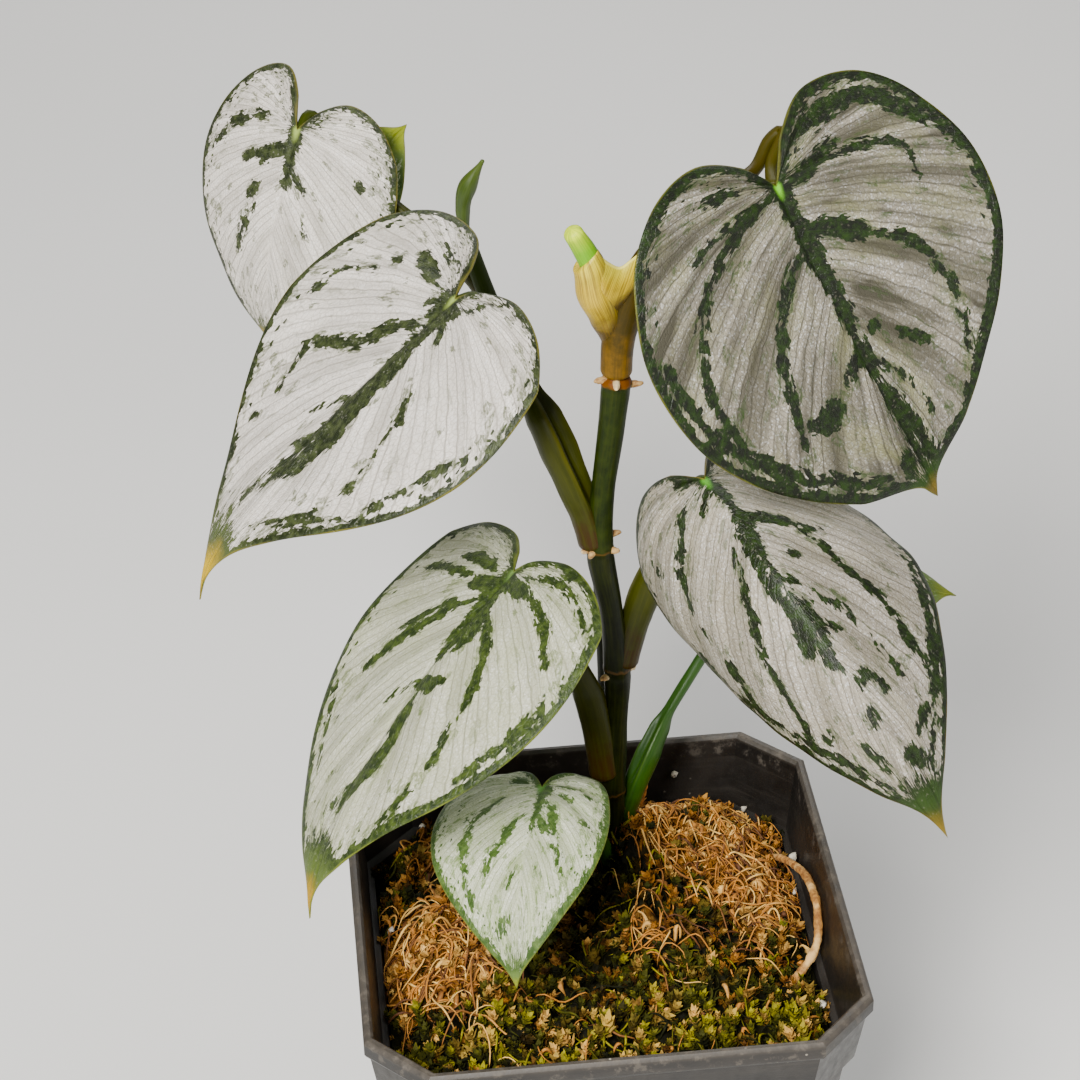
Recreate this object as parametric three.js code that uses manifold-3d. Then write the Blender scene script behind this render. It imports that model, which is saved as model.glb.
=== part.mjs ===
// A young silver-leaved climbing philodendron in a 9 cm square nursery pot filled with moss.
// Millimetres, +Z up. The origin is the centre of the pot's flat underside and -Y is the front.
import * as THREE from 'three';
import { mergeVertices } from 'three/addons/utils/BufferGeometryUtils.js';
import Module from 'manifold-3d';

const wasm = await Module();
wasm.setup();

const { degToRad, clamp, lerp, smoothstep } = THREE.MathUtils;

// Clearance between neighbouring pieces
const GAP = 0.3;

// Pot: half sides, heights and corner chamfer
const POT_HALF = 45;
const POT_HEIGHT = 95;
const POT_BASE_HALF = 31.5;
const CHAMFER = 0.233;
const LIP_WIDTH = 1.8;
const LIP_HEIGHT = 4;
const WALL = 1.1;
const FLOOR = 1.8;
const LEDGE_DROP = 15.5;
const LEDGE_WIDTH = 1.2;
const CORNER_DRAIN = { radius: 4, offset: 19 };
const SIDE_DRAIN = { radius: 2.6, offset: 22 };

// Moss bed: its top lies this far below the lip at the wall, and rises to a mound round the stem
const MOSS_DROP = 17;
const MOSS_DOME = 4.5;
const MOUND = { x: 6, y: 20, height: 14, spread: 8 };
const TUFTS = [
  { x: -33, y: 1, height: 8, spread: 6 },
  { x: -27, y: -8, height: 4, spread: 7 },
  { x: 25, y: 29, height: 8, spread: 9 },
  { x: 9, y: 2, height: 4, spread: 6 },
  { x: -22, y: 26, height: 5, spread: 10 },
];
const LUMPS = [
  { height: 0.5, alongX: 0.42, alongY: 0.47, shift: 1.7 },
  { height: -0.5, alongX: 0.42, alongY: -0.47, shift: 0.9 },
  { height: 0.7, alongX: 0.81, alongY: -0.55, shift: 0.53 },
  { height: 0.5, alongX: 0.63, alongY: 0.92, shift: -1.57 },
];
const MOSS_SECTORS = 48;
const MOSS_RINGS = 10;

// Blades
const BLADE_THICKNESS = 0.7;
const BLADE_ROWS = 14;
const BLADE_COLUMNS = 5;
const FIRST_VEIN = 1 / 13;
const LOBE_VEINS_END = 0.4;
const RIB_RUN_POWER = 1.7;
const VEIN_BOW = 0.14;
const PLEATS = 7;
const PLEAT_HEIGHT = 0.5;
const RIB_HALF_WIDTH = 1.5;

// A petiole's last bend and its end under the blade: across, along and off the sheet at the sinus
const NECK = [0, -3, -3.6];
const SEAT = [0, 0.3, -0.95];

// Half of a heart-shaped blade: across in half widths and along in lengths, from the sinus to the tip
const HALF_OUTLINE = new THREE.SplineCurve([
  [0, 0], [0.13, -0.10], [0.36, -0.18], [0.64, -0.15], [0.86, -0.03], [0.98, 0.13], [1.0, 0.29],
  [0.93, 0.45], [0.77, 0.60], [0.54, 0.74], [0.30, 0.855], [0.12, 0.935], [0.045, 0.975], [0, 1],
].map(([across, along]) => new THREE.Vector2(across, along)));
const WIDEST_ALONG = 0.29;

// Every leaf. Pairs are for the half at its own left and at its own right, angles are in degrees.
// attach is where the petiole meets the blade; heading turns the midrib about +Z from +Y, dip lowers it,
// roll tilts it; droop, tipCurl, sideBend and twist bend the midrib; fold and curl shape the halves.
// petiole lists [x, y, z, half width, half depth, channel], from the node that it grows from. neck is
// its last bend, where that isn't at NECK.
const LEAVES = [
  {
    name: 'upper_right',
    attach: [34, 23, 226], heading: -127, dip: 60, roll: 16,
    length: 64, halfWidth: [36.2, 38.4], lobe: [1.0, 0.9], taper: [1.05, 0.88],
    droop: 2.5, tipCurl: 15.5, sideBend: 9.5, twist: 12, fold: 4, curl: [18, -11.5], lobeBend: 7.5,
    neck: [-4.4, -2.4, -4.2],
    petiole: [
      [5.9, 15, 196, 2.7, 2.7, 0], [6.3, 15, 203, 2.8, 2.8, 0], [8, 15, 210.5, 2.9, 3.1, 0],
      [11, 15.6, 216.5, 2.5, 3.0, 0.4], [16, 18, 221, 2.1, 2.5, 0.6], [22, 22, 223.5, 1.7, 2.0, 0.6],
      [28, 27, 224.8, 1.3, 1.4, 0.2], [32, 30.6, 226, 1.0, 1.0, 0], [34.6, 34, 229, 0.9, 0.9, 0],
      [37.2, 34.5, 230.4, 0.9, 0.9, 0],
    ],
  },
  {
    name: 'upper_left',
    attach: [-20, 30.5, 204.5], heading: 108, dip: 34, roll: 2,
    length: 70.5, halfWidth: [32, 32.5], lobe: [0.6, 0.8], taper: [1.7, 1.6],
    droop: 10, tipCurl: 35, sideBend: 0, twist: 6, fold: -1, curl: [-28, 22], lobeBend: 22,
    petiole: [
      [1.9, 15, 161.4, 2.6, 2.6, 0], [0.7, 15.5, 167.4, 2.7, 2.8, 0.2], [-1.4, 16.6, 173.8, 3.0, 3.1, 0.5],
      [-3.6, 18.8, 179.6, 3.5, 3.3, 0.7], [-5.7, 21, 184.6, 3.4, 3.2, 0.7], [-8.2, 24.6, 188.6, 2.2, 2.4, 0.6],
      [-12.5, 28.4, 196.5, 1.2, 1.2, 0.1],
    ],
  },
  {
    name: 'lower_right',
    attach: [20, 6.5, 179.5], heading: -160, dip: 8.7, roll: 15.7,
    length: 77.5, halfWidth: [34.2, 31.8], lobe: [1.0, 0.9], taper: [1.25, 1.25],
    droop: 58.6, tipCurl: 10.4, sideBend: 11.7, twist: 17.6, fold: -31, curl: [-21.6, -62.6], lobeBend: 16,
    petiole: [
      [7.0, 16, 134.4, 2.6, 2.6, 0], [8.6, 16.3, 141.8, 2.4, 2.8, 0.3], [10.6, 16.4, 149, 2.4, 3.1, 0.7],
      [13, 16, 156.5, 2.1, 2.7, 0.7], [16, 15.2, 164, 1.3, 1.3, 0.2], [19, 13.2, 171, 1.2, 1.2, 0],
    ],
  },
  {
    name: 'lower_left',
    attach: [-12.5, 13.5, 158.5], heading: 120, dip: 30, roll: 20,
    length: 72, halfWidth: [31, 31], lobe: [0.5, 0.5], taper: [1.3, 1.3],
    droop: 22, tipCurl: 27, sideBend: 5, twist: 2, fold: 1, curl: [-36, 4], lobeBend: 12,
    petiole: [
      [3.6, 17, 108.4, 2.7, 2.7, 0], [2.6, 16.6, 118.5, 2.4, 2.8, 0.3], [1.0, 16.2, 128, 2.3, 3.1, 0.7],
      [-0.6, 16, 133, 2.0, 2.6, 0.6], [-4.2, 15.7, 141.5, 1.3, 1.3, 0.2], [-8, 15.5, 150, 1.2, 1.2, 0],
    ],
  },
  {
    name: 'small_front',
    attach: [-9.5, 2, 119], heading: 162, dip: -10, roll: 6.4,
    length: 42.6, halfWidth: [13.9, 18.5], lobe: [1.0, 1.0], taper: [1.2, 1.2],
    droop: 66.4, tipCurl: 17.9, sideBend: 1, twist: 2.6, fold: -1, curl: [-19.9, -12], lobeBend: 17.9,
    petiole: [
      [4.2, 15, 88, 1.6, 1.6, 0], [2.4, 12.6, 96, 1.5, 1.6, 0.3], [-1, 9.5, 103.5, 1.3, 1.4, 0.4],
      [-5, 6.5, 110, 0.9, 0.9, 0],
    ],
  },
  {
    name: 'behind_right',
    attach: [36.5, 41, 134], heading: -84, dip: 8, roll: 12,
    length: 42, halfWidth: [16, 16], lobe: [1.0, 1.0], taper: [1.2, 1.2],
    droop: 14, tipCurl: 12, sideBend: 0, twist: 4, fold: 0, curl: [-18, -18], lobeBend: 14,
    petiole: [
      [6.6, 19, 92, 1.8, 1.8, 0], [8.8, 19.6, 101, 2.2, 2.3, 0.2], [12, 21, 108.6, 2.1, 2.7, 0.6],
      [14.6, 23, 113.4, 1.8, 2.3, 0.6], [17.4, 25.4, 117.2, 1.1, 1.1, 0.2], [24, 31, 124, 1.1, 1.1, 0],
      [30, 36.5, 129.5, 1.0, 1.0, 0],
    ],
  },
  {
    name: 'back_left',
    attach: [-44.5, 88.5, 210.5], heading: 128, dip: 62, roll: -15,
    length: 50, halfWidth: [22.5, 22], lobe: [0.9, 1.2], taper: [1.1, 1.1],
    droop: 43, tipCurl: 14, sideBend: -2, twist: 2, fold: -7, curl: [-20, -10], lobeBend: 21,
    petiole: [
      [-10, 65, 181, 1.6, 1.6, 0], [-14, 69, 187, 1.5, 1.7, 0.3], [-20, 75, 192, 1.5, 1.9, 0.6],
      [-28, 82, 197.5, 1.1, 1.1, 0.2], [-36, 88, 204, 1.0, 1.0, 0],
    ],
  },
  {
    name: 'back_small',
    attach: [-40, 97, 190], heading: -114, dip: -48, roll: 90,
    length: 25.6, halfWidth: [11, 11], lobe: [0.9, 0.9], taper: [1.1, 1.1],
    droop: 4, tipCurl: 6, sideBend: 0, twist: 0, fold: 6, curl: [8, 8], lobeBend: 6,
    petiole: [
      [-4.6, 58, 168.5, 1.4, 1.4, 0], [-9, 67, 173, 1.3, 1.4, 0.3], [-19, 82, 174.5, 1.1, 1.1, 0.2],
      [-31, 94, 177, 0.9, 0.9, 0],
    ],
  },
];

// Stems: [x, y, z, half width, half depth, channel], with root nubs at some of those points. Each nub
// points outwards at an angle from +X and a little down.
const NUB = { tip: 0.45, foot: 0.75, tilt: 0.05 };
const MAIN_STEM = {
  points: [
    [5, 18, 60, 1.6, 1.6, 0], [5.2, 18, 88, 2.1, 2.1, 0], [5.2, 18, 104, 2.5, 2.5, 0],
    [5.9, 17, 121, 2.1, 2.1, 0], [6.0, 16, 134, 2.5, 2.5, 0], [4.9, 15.5, 147.3, 2.1, 2.1, 0],
    [2.9, 15, 161, 2.5, 2.5, 0], [3.5, 15, 173.3, 2.1, 2.1, 0], [5.0, 15, 185.4, 2.3, 2.3, 0],
    [5.9, 15, 194.6, 2.6, 2.6, 0], [6.0, 15, 197, 1.6, 1.6, 0], [6.2, 15, 202, 1.2, 1.2, 0],
  ],
  nubs: [
    { at: 9, height: 1.4, around: [-168, -96], reach: 1.4 },
    { at: 9, height: -0.2, around: [4], reach: 2.2 },
    { at: 6, height: 0.6, around: [-160, -128, -30], reach: 1.3 },
    { at: 6, height: 3, around: [10], reach: 1.5 },
    { at: 4, height: -0.8, around: [-150, 20], reach: 1.4 },
  ],
};
const BACK_STEM = {
  points: [
    [4.9, 30, 62, 1.3, 1.3, 0], [5, 31, 92, 1.6, 1.6, 0], [6, 34, 113, 1.5, 1.5, 0],
    [6.4, 39, 128.5, 1.7, 1.7, 0], [5.4, 44, 142, 1.5, 1.5, 0], [0, 52, 159, 1.7, 1.7, 0],
    [-4.5, 57.5, 169, 1.5, 1.5, 0], [-10, 64, 180.5, 1.8, 1.8, 0], [-13, 68, 188.5, 1.7, 1.7, 0],
    [-15, 71, 195.5, 1.4, 1.4, 0],
  ],
  nubs: [],
};

// Rolled new leaves and the striped sheath round the upper one
const NEW_LEAF_ROLL = [
  [4.4, 13.6, 211, 1.1, 1.1, 0], [2.6, 12.4, 216.5, 1.7, 1.7, 0], [0.8, 11.2, 221.5, 2.1, 2.1, 0],
  [-1.2, 10.1, 225.8, 2.1, 2.1, 0], [-2.1, 9.6, 227.6, 1.4, 1.4, 0],
];
const NEW_LEAF_SHEATH = [
  [5.8, 14.4, 204, 2.1, 2.1, 0], [4.4, 13.5, 209, 3.0, 3.1, 0], [2.7, 12.7, 213.8, 3.3, 3.5, 0],
  [1.2, 11.5, 219, 2.9, 3.0, 0], [0.2, 10.8, 222.4, 2.3, 2.3, 0],
];
const BACK_LEAF_ROLL = [
  [-15, 71.1, 195, 0.8, 0.8, 0], [-15.4, 71.2, 200.6, 1.4, 1.4, 0], [-14.4, 70.7, 205.2, 1.8, 1.8, 0],
  [-11.4, 70, 211, 0.4, 0.4, 0],
];

// Dry root over the moss at the right, and the dry stalk that stands behind the main stem
const DRY_ROOT = [
  [35, 26, 77, 0.6, 0.6, 0], [38, 20, 82.5, 0.7, 0.7, 0], [40.6, 10, 87, 0.8, 0.8, 0],
  [41.1, 1, 89, 0.8, 0.8, 0], [40.9, -4, 88, 0.8, 0.8, 0], [40, -8, 84.5, 0.8, 0.8, 0],
  [37, -11, 81.5, 0.8, 0.8, 0], [33, -14, 79.5, 0.7, 0.7, 0], [28.5, -16.5, 76, 0.5, 0.5, 0],
];
const DRY_STALK = [
  [11, 26.5, 84, 0.8, 0.8, 0], [11.2, 26.5, 93, 1.1, 0.9, 0], [11.8, 26, 99, 1.4, 0.9, 0],
  [13, 26, 103.5, 0.7, 0.6, 0],
];

// Half angle of the channel on the inner side of a petiole, in radians
const CHANNEL_HALF_ANGLE = 0.4;

const COLOURS = {
  pot: { color: 0x1a1a1c, roughness: 0.55 },
  moss: { color: 0x4b4a1d, roughness: 0.95 },
  stem: { color: 0x2f4a12, roughness: 0.4 },
  petiole: { color: 0x5a6a1c, roughness: 0.45 },
  silver: { color: 0xb9bfb2, roughness: 0.5 },
  newLeaf: { color: 0x9ccf2e, roughness: 0.35 },
  newSheath: { color: 0xc9b455, roughness: 0.45 },
  dry: { color: 0x9a5a1e, roughness: 0.9 },
};

const group = new THREE.Group();

function addPiece(name, geometry, look) {
  const mesh = new THREE.Mesh(geometry, new THREE.MeshStandardMaterial({ metalness: 0, ...look }));
  mesh.name = name;
  group.add(mesh);
}

// Welds a geometry's corners and drops the triangles that closed up to a line
function welded(geometry) {
  geometry.deleteAttribute('normal');
  geometry.deleteAttribute('uv');
  const merged = mergeVertices(geometry, 1e-4);
  const corners = merged.index.array;
  const kept = [];
  for (let i = 0; i < corners.length; i += 3) {
    const [a, b, c] = corners.slice(i, i + 3);
    if (a !== b && b !== c && c !== a) kept.push(a, b, c);
  }
  merged.setIndex(kept);
  return merged;
}

function toSolid(geometry) {
  const mesh = new wasm.Mesh({
    numProp: 3,
    vertProperties: new Float32Array(geometry.attributes.position.array),
    triVerts: new Uint32Array(geometry.index.array),
  });
  return new wasm.Manifold(mesh);
}

function toGeometry(solid) {
  const mesh = solid.getMesh();
  const geometry = new THREE.BufferGeometry();
  geometry.setAttribute('position', new THREE.BufferAttribute(mesh.vertProperties, 3));
  geometry.setIndex(Array.from(mesh.triVerts));
  return geometry;
}

// The largest piece of a solid, without the scraps that a cut leaves
function largest(solid) {
  const pieces = solid.decompose();
  return pieces.reduce((best, piece) => (piece.volume() > best.volume() ? piece : best));
}

function cutBy(geometry, cutters) {
  let solid = toSolid(geometry);
  for (const cutter of cutters) solid = solid.subtract(toSolid(cutter));
  return toGeometry(largest(solid));
}

// How far a square with chamfered corners reaches in a direction, for a half side of 1
function squareReach(angle) {
  const x = Math.abs(Math.cos(angle));
  const y = Math.abs(Math.sin(angle));
  return Math.min(1 / x, 1 / y, (2 - CHAMFER) / (x + y));
}

// Turns a closed profile of [half side, height] into a body with a chamfered square plan.
// angles gives the direction of each sector's edge; raise may move a point up or down.
function squareLathe(profile, angles, raise = (x, y, z) => z) {
  const points = profile.map(([half, z]) => new THREE.Vector2(half, z));
  const lathe = new THREE.LatheGeometry(points, angles.length);
  const position = lathe.attributes.position;
  for (let i = 0; i < position.count; i += 1) {
    const half = Math.hypot(position.getX(i), position.getZ(i));
    const turn = Math.atan2(position.getX(i), position.getZ(i)) / (2 * Math.PI);
    const sector = Math.round((turn + 1) * angles.length) % angles.length;
    const angle = angles[sector];
    const reach = half < 1e-6 ? 0 : half * squareReach(angle);
    const x = reach * Math.cos(angle);
    const y = reach * Math.sin(angle);
    position.setXYZ(i, x, y, raise(x, y, position.getY(i), half));
  }
  return welded(lathe);
}

function squareCorners() {
  const first = Math.atan(1 - CHAMFER);
  const angles = [];
  for (let quarter = 0; quarter < 4; quarter += 1) {
    angles.push(quarter * Math.PI / 2 + first, (quarter + 1) * Math.PI / 2 - first);
  }
  return angles;
}

// Half side of the pot's inner wall under the ledge
function innerHalf(z) {
  const ledge = POT_HEIGHT - LEDGE_DROP;
  const top = outerHalf(ledge) - WALL - LEDGE_WIDTH;
  return lerp(POT_BASE_HALF - WALL, top, z / ledge);
}

function outerHalf(z) {
  return lerp(POT_BASE_HALF, POT_HALF - LIP_WIDTH / 2, z / (POT_HEIGHT - LIP_HEIGHT));
}

function makePot() {
  const ledge = POT_HEIGHT - LEDGE_DROP;
  const lip = POT_HEIGHT - LIP_HEIGHT;
  const profile = [
    [0, 0],
    [POT_BASE_HALF - 1, 0],
    [POT_BASE_HALF, 1],
    [outerHalf(ledge - 1) - LEDGE_WIDTH, ledge - 1],
    [outerHalf(ledge), ledge],
    [outerHalf(lip), lip],
    [POT_HALF - 0.3, lip + 0.3],
    [POT_HALF, lip + 1],
    [POT_HALF, POT_HEIGHT - 0.6],
    [POT_HALF - 0.6, POT_HEIGHT],
    [POT_HALF - LIP_WIDTH + 0.5, POT_HEIGHT],
    [POT_HALF - LIP_WIDTH, POT_HEIGHT - 0.6],
    [outerHalf(ledge) - WALL, ledge + 0.4],
    [innerHalf(ledge), ledge - 0.2],
    [innerHalf(FLOOR), FLOOR],
    [0, FLOOR],
  ];
  let pot = toSolid(squareLathe(profile, squareCorners()));
  for (let quarter = 0; quarter < 4; quarter += 1) {
    const straight = quarter * Math.PI / 2;
    const slanted = straight + Math.PI / 4;
    pot = pot.subtract(toSolid(drain(SIDE_DRAIN.radius, SIDE_DRAIN.offset, straight)));
    pot = pot.subtract(toSolid(drain(CORNER_DRAIN.radius, CORNER_DRAIN.offset * Math.SQRT2, slanted)));
  }
  addPiece('pot', toGeometry(pot), COLOURS.pot);
}

function drain(radius, distance, angle) {
  const hole = new THREE.CylinderGeometry(radius, radius, FLOOR * 4, 16);
  hole.rotateX(Math.PI / 2);
  hole.translate(distance * Math.cos(angle), distance * Math.sin(angle), 0);
  return welded(hole);
}

// Height of the moss at a place, between the wall's level and the mound round the stem
function mossTop(x, y, edge) {
  const bump = (b) => b.height * Math.exp(-((x - b.x) ** 2 + (y - b.y) ** 2) / (2 * b.spread ** 2));
  const lump = (l) => l.height * Math.cos(l.alongX * x + l.alongY * y + l.shift);
  const inside = 1 - edge ** 4;
  const rise = MOSS_DOME + bump(MOUND) + LUMPS.reduce((sum, one) => sum + lump(one), 0)
    + TUFTS.reduce((sum, tuft) => sum + bump(tuft), 0);
  return POT_HEIGHT - MOSS_DROP + inside * rise;
}

function makeMoss(cutters) {
  const wallTop = POT_HEIGHT - MOSS_DROP;
  const topHalf = innerHalf(wallTop) - GAP;
  const profile = [[0, FLOOR + GAP], [innerHalf(FLOOR) - GAP - 0.4, FLOOR + GAP]];
  profile.push([innerHalf(FLOOR + 1) - GAP, FLOOR + 1], [topHalf, wallTop]);
  for (let ring = MOSS_RINGS - 1; ring >= 0; ring -= 1) {
    profile.push([topHalf * ring / MOSS_RINGS, wallTop + 1]);
  }
  const angles = Array.from({ length: MOSS_SECTORS }, (_, i) => (i * 2 * Math.PI) / MOSS_SECTORS);
  const raise = (x, y, z, half) => (z > wallTop ? mossTop(x, y, half / topHalf) : z);
  addPiece('moss_bed', cutBy(squareLathe(profile, angles, raise), cutters), COLOURS.moss);
}

// A stalk along a smooth curve. Each point gives its place, half width, half depth and how deep the
// channel on its inner side is. inner is the direction that this side faces. grow makes it thicker.
function stalk(points, { sides = 10, inner = [0, 0, 1], spans = 2, grow = 0 } = {}) {
  const places = points.map(([x, y, z]) => new THREE.Vector3(x, y, z));
  const curve = new THREE.CatmullRomCurve3(places, false, 'catmullrom', 0.5);
  const tube = new THREE.CylinderGeometry(1, 1, 1, sides, (points.length - 1) * spans);
  const position = tube.attributes.position;
  for (let i = 0; i < position.count; i += 1) {
    const t = position.getY(i) + 0.5;
    const rim = Math.hypot(position.getX(i), position.getZ(i));
    const angle = Math.atan2(position.getX(i), position.getZ(i));
    const [width, depth, channel] = sizesAt(points, t);
    const along = curve.getTangent(t);
    const inward = new THREE.Vector3(...inner).projectOnPlane(along).normalize();
    const across = along.clone().cross(inward);
    const groove = 1 - channel * Math.exp(-((angle / CHANNEL_HALF_ANGLE) ** 2));
    const place = curve.getPoint(t)
      .addScaledVector(inward, rim * groove * (depth + grow) * Math.cos(angle))
      .addScaledVector(across, rim * (width + grow) * Math.sin(angle))
      .addScaledVector(along, t < 1e-6 ? -grow : (t > 1 - 1e-6 ? grow : 0));
    position.setXYZ(i, place.x, place.y, place.z);
  }
  return welded(tube);
}

function sizesAt(points, t) {
  const place = clamp(t, 0, 1) * (points.length - 1);
  const first = Math.min(Math.floor(place), points.length - 2);
  const part = smoothstep(place - first, 0, 1);
  return [3, 4, 5].map((column) => lerp(points[first][column], points[first + 1][column], part));
}

// A stem with its root nubs fused on
function stemGeometry(stem, grow = 0) {
  let solid = toSolid(stalk(stem.points, { sides: 12, inner: [0, -1, 0], grow }));
  for (const { at, height, around, reach } of stem.nubs) {
    const [x, y, z, half] = stem.points[at];
    for (const turn of around) {
      const angle = degToRad(turn);
      const nub = new THREE.CylinderGeometry(NUB.tip + grow, NUB.foot + grow, reach + half, 6);
      nub.rotateZ(-Math.PI / 2);
      nub.translate((reach + half) / 2 + grow, 0, 0);
      nub.rotateY(NUB.tilt);
      nub.rotateZ(angle);
      nub.translate(x, y, z + height);
      solid = solid.add(toSolid(welded(nub)));
    }
  }
  return toGeometry(solid);
}

// One bend of a strip: from start, over a length, by an angle that turns it towards its underside
function bend(along, off, start, length, degrees) {
  const angle = degToRad(degrees);
  if (Math.abs(angle) < 1e-6) return [along, off];
  const within = clamp(along - start, 0, length);
  const beyond = along - start - within;
  const rate = angle / length;
  const turned = rate * within;
  return [
    start + Math.sin(turned) / rate + beyond * Math.cos(turned) + off * Math.sin(turned),
    -(1 - Math.cos(turned)) / rate - beyond * Math.sin(turned) + off * Math.cos(turned),
  ];
}

// The margin of one half of a flat blade: side is 0 for its left and 1 for its right
function marginPoint(leaf, side, vein) {
  const point = HALF_OUTLINE.getPoint(vein);
  const along = point.y < 0 ? point.y * leaf.lobe[side] : point.y;
  const across = Math.max(point.x, 0) ** (point.y > WIDEST_ALONG ? leaf.taper[side] : 1);
  return new THREE.Vector2(across * leaf.halfWidth[side], along * leaf.length);
}

// A point of a flat half blade: vein runs from the sinus to the tip, out from the midrib to the margin
function flatPoint(leaf, side, vein, out) {
  const margin = marginPoint(leaf, side, vein);
  const run = Math.max(0, (vein - LOBE_VEINS_END) / (1 - LOBE_VEINS_END)) ** RIB_RUN_POWER;
  const root = new THREE.Vector2(0, run * leaf.length);
  const reach = margin.clone().sub(root);
  const bow = VEIN_BOW * smoothstep(vein, 0, 0.3);
  const middle = root.clone().addScaledVector(reach, 0.5);
  middle.add(new THREE.Vector2(reach.y, -reach.x).multiplyScalar(bow));
  return new THREE.QuadraticBezierCurve(root, middle, margin).getPoint(out);
}

// Low folds between the side veins, flat at the midrib, the margin and the tip
function pleat(vein, out) {
  const crest = Math.sin(Math.PI * PLEATS * (vein - FIRST_VEIN) / (1 - FIRST_VEIN)) ** 2;
  return PLEAT_HEIGHT * crest * Math.sin(Math.PI * out) * (1 - vein ** 6);
}

// Bends a flat point of a blade, lifted off its sheet, into its place on the plant
function placed(leaf, side, flat, lift) {
  const sign = side === 0 ? -1 : 1;
  const rate = degToRad(leaf.curl[side]) / leaf.halfWidth[side] + 1e-7;
  const fold = degToRad(leaf.fold);
  const slope = fold + rate * flat.x;
  const lean = slope * Math.min(1, flat.x / RIB_HALF_WIDTH);
  let across = sign * ((Math.sin(slope) - Math.sin(fold)) / rate - lift * Math.sin(lean));
  let off = (Math.cos(fold) - Math.cos(slope)) / rate + lift * Math.cos(lean);
  let along = flat.y;
  if (along < 0) {
    const [back, down] = bend(-along, off, 0, 0.18 * leaf.length, leaf.lobeBend);
    along = -back;
    off = down;
  }
  [along, off] = bend(along, off, 0.75 * leaf.length, 0.25 * leaf.length, leaf.tipCurl);
  const twist = degToRad(leaf.twist) * clamp(along / leaf.length, 0, 1.2);
  [across, off] = [
    across * Math.cos(twist) + off * Math.sin(twist),
    off * Math.cos(twist) - across * Math.sin(twist),
  ];
  [along, off] = bend(along, off, 0, leaf.length, leaf.droop);
  [along, across] = bend(along, across, 0, leaf.length, leaf.sideBend);
  return onPlant(leaf, across, along, off);
}

function onPlant(leaf, across, along, off) {
  const turned = new THREE.Vector3(across, along, off)
    .applyAxisAngle(new THREE.Vector3(0, 1, 0), degToRad(leaf.roll))
    .applyAxisAngle(new THREE.Vector3(1, 0, 0), -degToRad(leaf.dip))
    .applyAxisAngle(new THREE.Vector3(0, 0, 1), degToRad(leaf.heading));
  return turned.add(new THREE.Vector3(...leaf.attach));
}

// A blade: one sheet of vein rows and columns for the upper face, its twin below, and a strip all round.
// Both faces are split along the same diagonals. back moves the sheet towards the sinus.
function bladeGeometry(leaf, thickness = BLADE_THICKNESS, back = 0) {
  const columns = BLADE_COLUMNS * 2;
  const sheet = new THREE.PlaneGeometry(2, 1, columns, BLADE_ROWS);
  const count = sheet.attributes.position.count;
  const faces = [[], []];
  for (let i = 0; i < count; i += 1) {
    const signed = sheet.attributes.position.getX(i);
    const side = signed < 0 ? 0 : 1;
    const vein = lerp(FIRST_VEIN, 1, 0.5 - sheet.attributes.position.getY(i));
    const flat = flatPoint(leaf, side, vein, Math.abs(signed));
    flat.y -= back;
    const relief = pleat(vein, Math.abs(signed));
    faces[0].push(...placed(leaf, side, flat, relief + thickness / 2).toArray());
    faces[1].push(...placed(leaf, side, flat, relief - thickness / 2).toArray());
  }
  const index = [];
  const upper = sheet.index.array;
  for (let i = 0; i < upper.length; i += 3) {
    const [a, b, c] = upper.slice(i, i + 3);
    index.push(a, b, c, count + a, count + c, count + b);
  }
  const rim = rimOf(columns, BLADE_ROWS);
  rim.forEach((a, i) => {
    const b = rim[(i + 1) % rim.length];
    index.push(a, b, count + a, b, count + b, count + a);
  });
  const geometry = new THREE.BufferGeometry();
  geometry.setAttribute('position', new THREE.Float32BufferAttribute(faces.flat(), 3));
  geometry.setIndex(index);
  return outward(welded(geometry));
}

// The corners round a sheet of columns and rows, in order
function rimOf(columns, rows) {
  const wide = columns + 1;
  const rim = [];
  for (let c = 0; c < columns; c += 1) rim.push(c);
  for (let r = 0; r < rows; r += 1) rim.push(r * wide + columns);
  for (let c = columns; c > 0; c -= 1) rim.push(rows * wide + c);
  for (let r = rows; r > 0; r -= 1) rim.push(r * wide);
  return rim;
}

// Turns a closed geometry's triangles round if they face in
function outward(geometry) {
  const p = geometry.attributes.position;
  const index = geometry.index.array;
  const corner = (i) => new THREE.Vector3().fromBufferAttribute(p, index[i]);
  let volume = 0;
  for (let i = 0; i < index.length; i += 3) {
    volume += corner(i).dot(corner(i + 1).cross(corner(i + 2)));
  }
  if (volume < 0) geometry.setIndex(Array.from(index).reverse());
  return geometry;
}

// A petiole runs from its node to the underside of its blade, at the sinus
function petiolePoints(leaf) {
  const [, , , width, depth] = leaf.petiole[leaf.petiole.length - 1];
  const neck = onPlant(leaf, ...(leaf.neck ?? NECK)).toArray();
  const end = onPlant(leaf, ...SEAT).toArray();
  return [...leaf.petiole, [...neck, width, depth, 0], [...end, width * 1.1, depth * 1.1, 0]];
}

function petioleGeometry(leaf, grow = 0) {
  const [x, y] = leaf.petiole[0];
  const away = new THREE.Vector2(leaf.attach[0] - x, leaf.attach[1] - y).normalize();
  return stalk(petiolePoints(leaf), { inner: [-away.x, -away.y, 1], grow });
}

const roundStalk = (points, grow = 0) => stalk(points, { sides: 8, inner: [0, -1, 0.3], grow });

makePot();

const mainStem = stemGeometry(MAIN_STEM);
const mainStemCutter = stemGeometry(MAIN_STEM, GAP);
const backStem = stemGeometry(BACK_STEM);
const backStemCutter = stemGeometry(BACK_STEM, GAP);
addPiece('main_stem', mainStem, COLOURS.stem);
addPiece('back_stem', backStem, COLOURS.stem);

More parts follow.
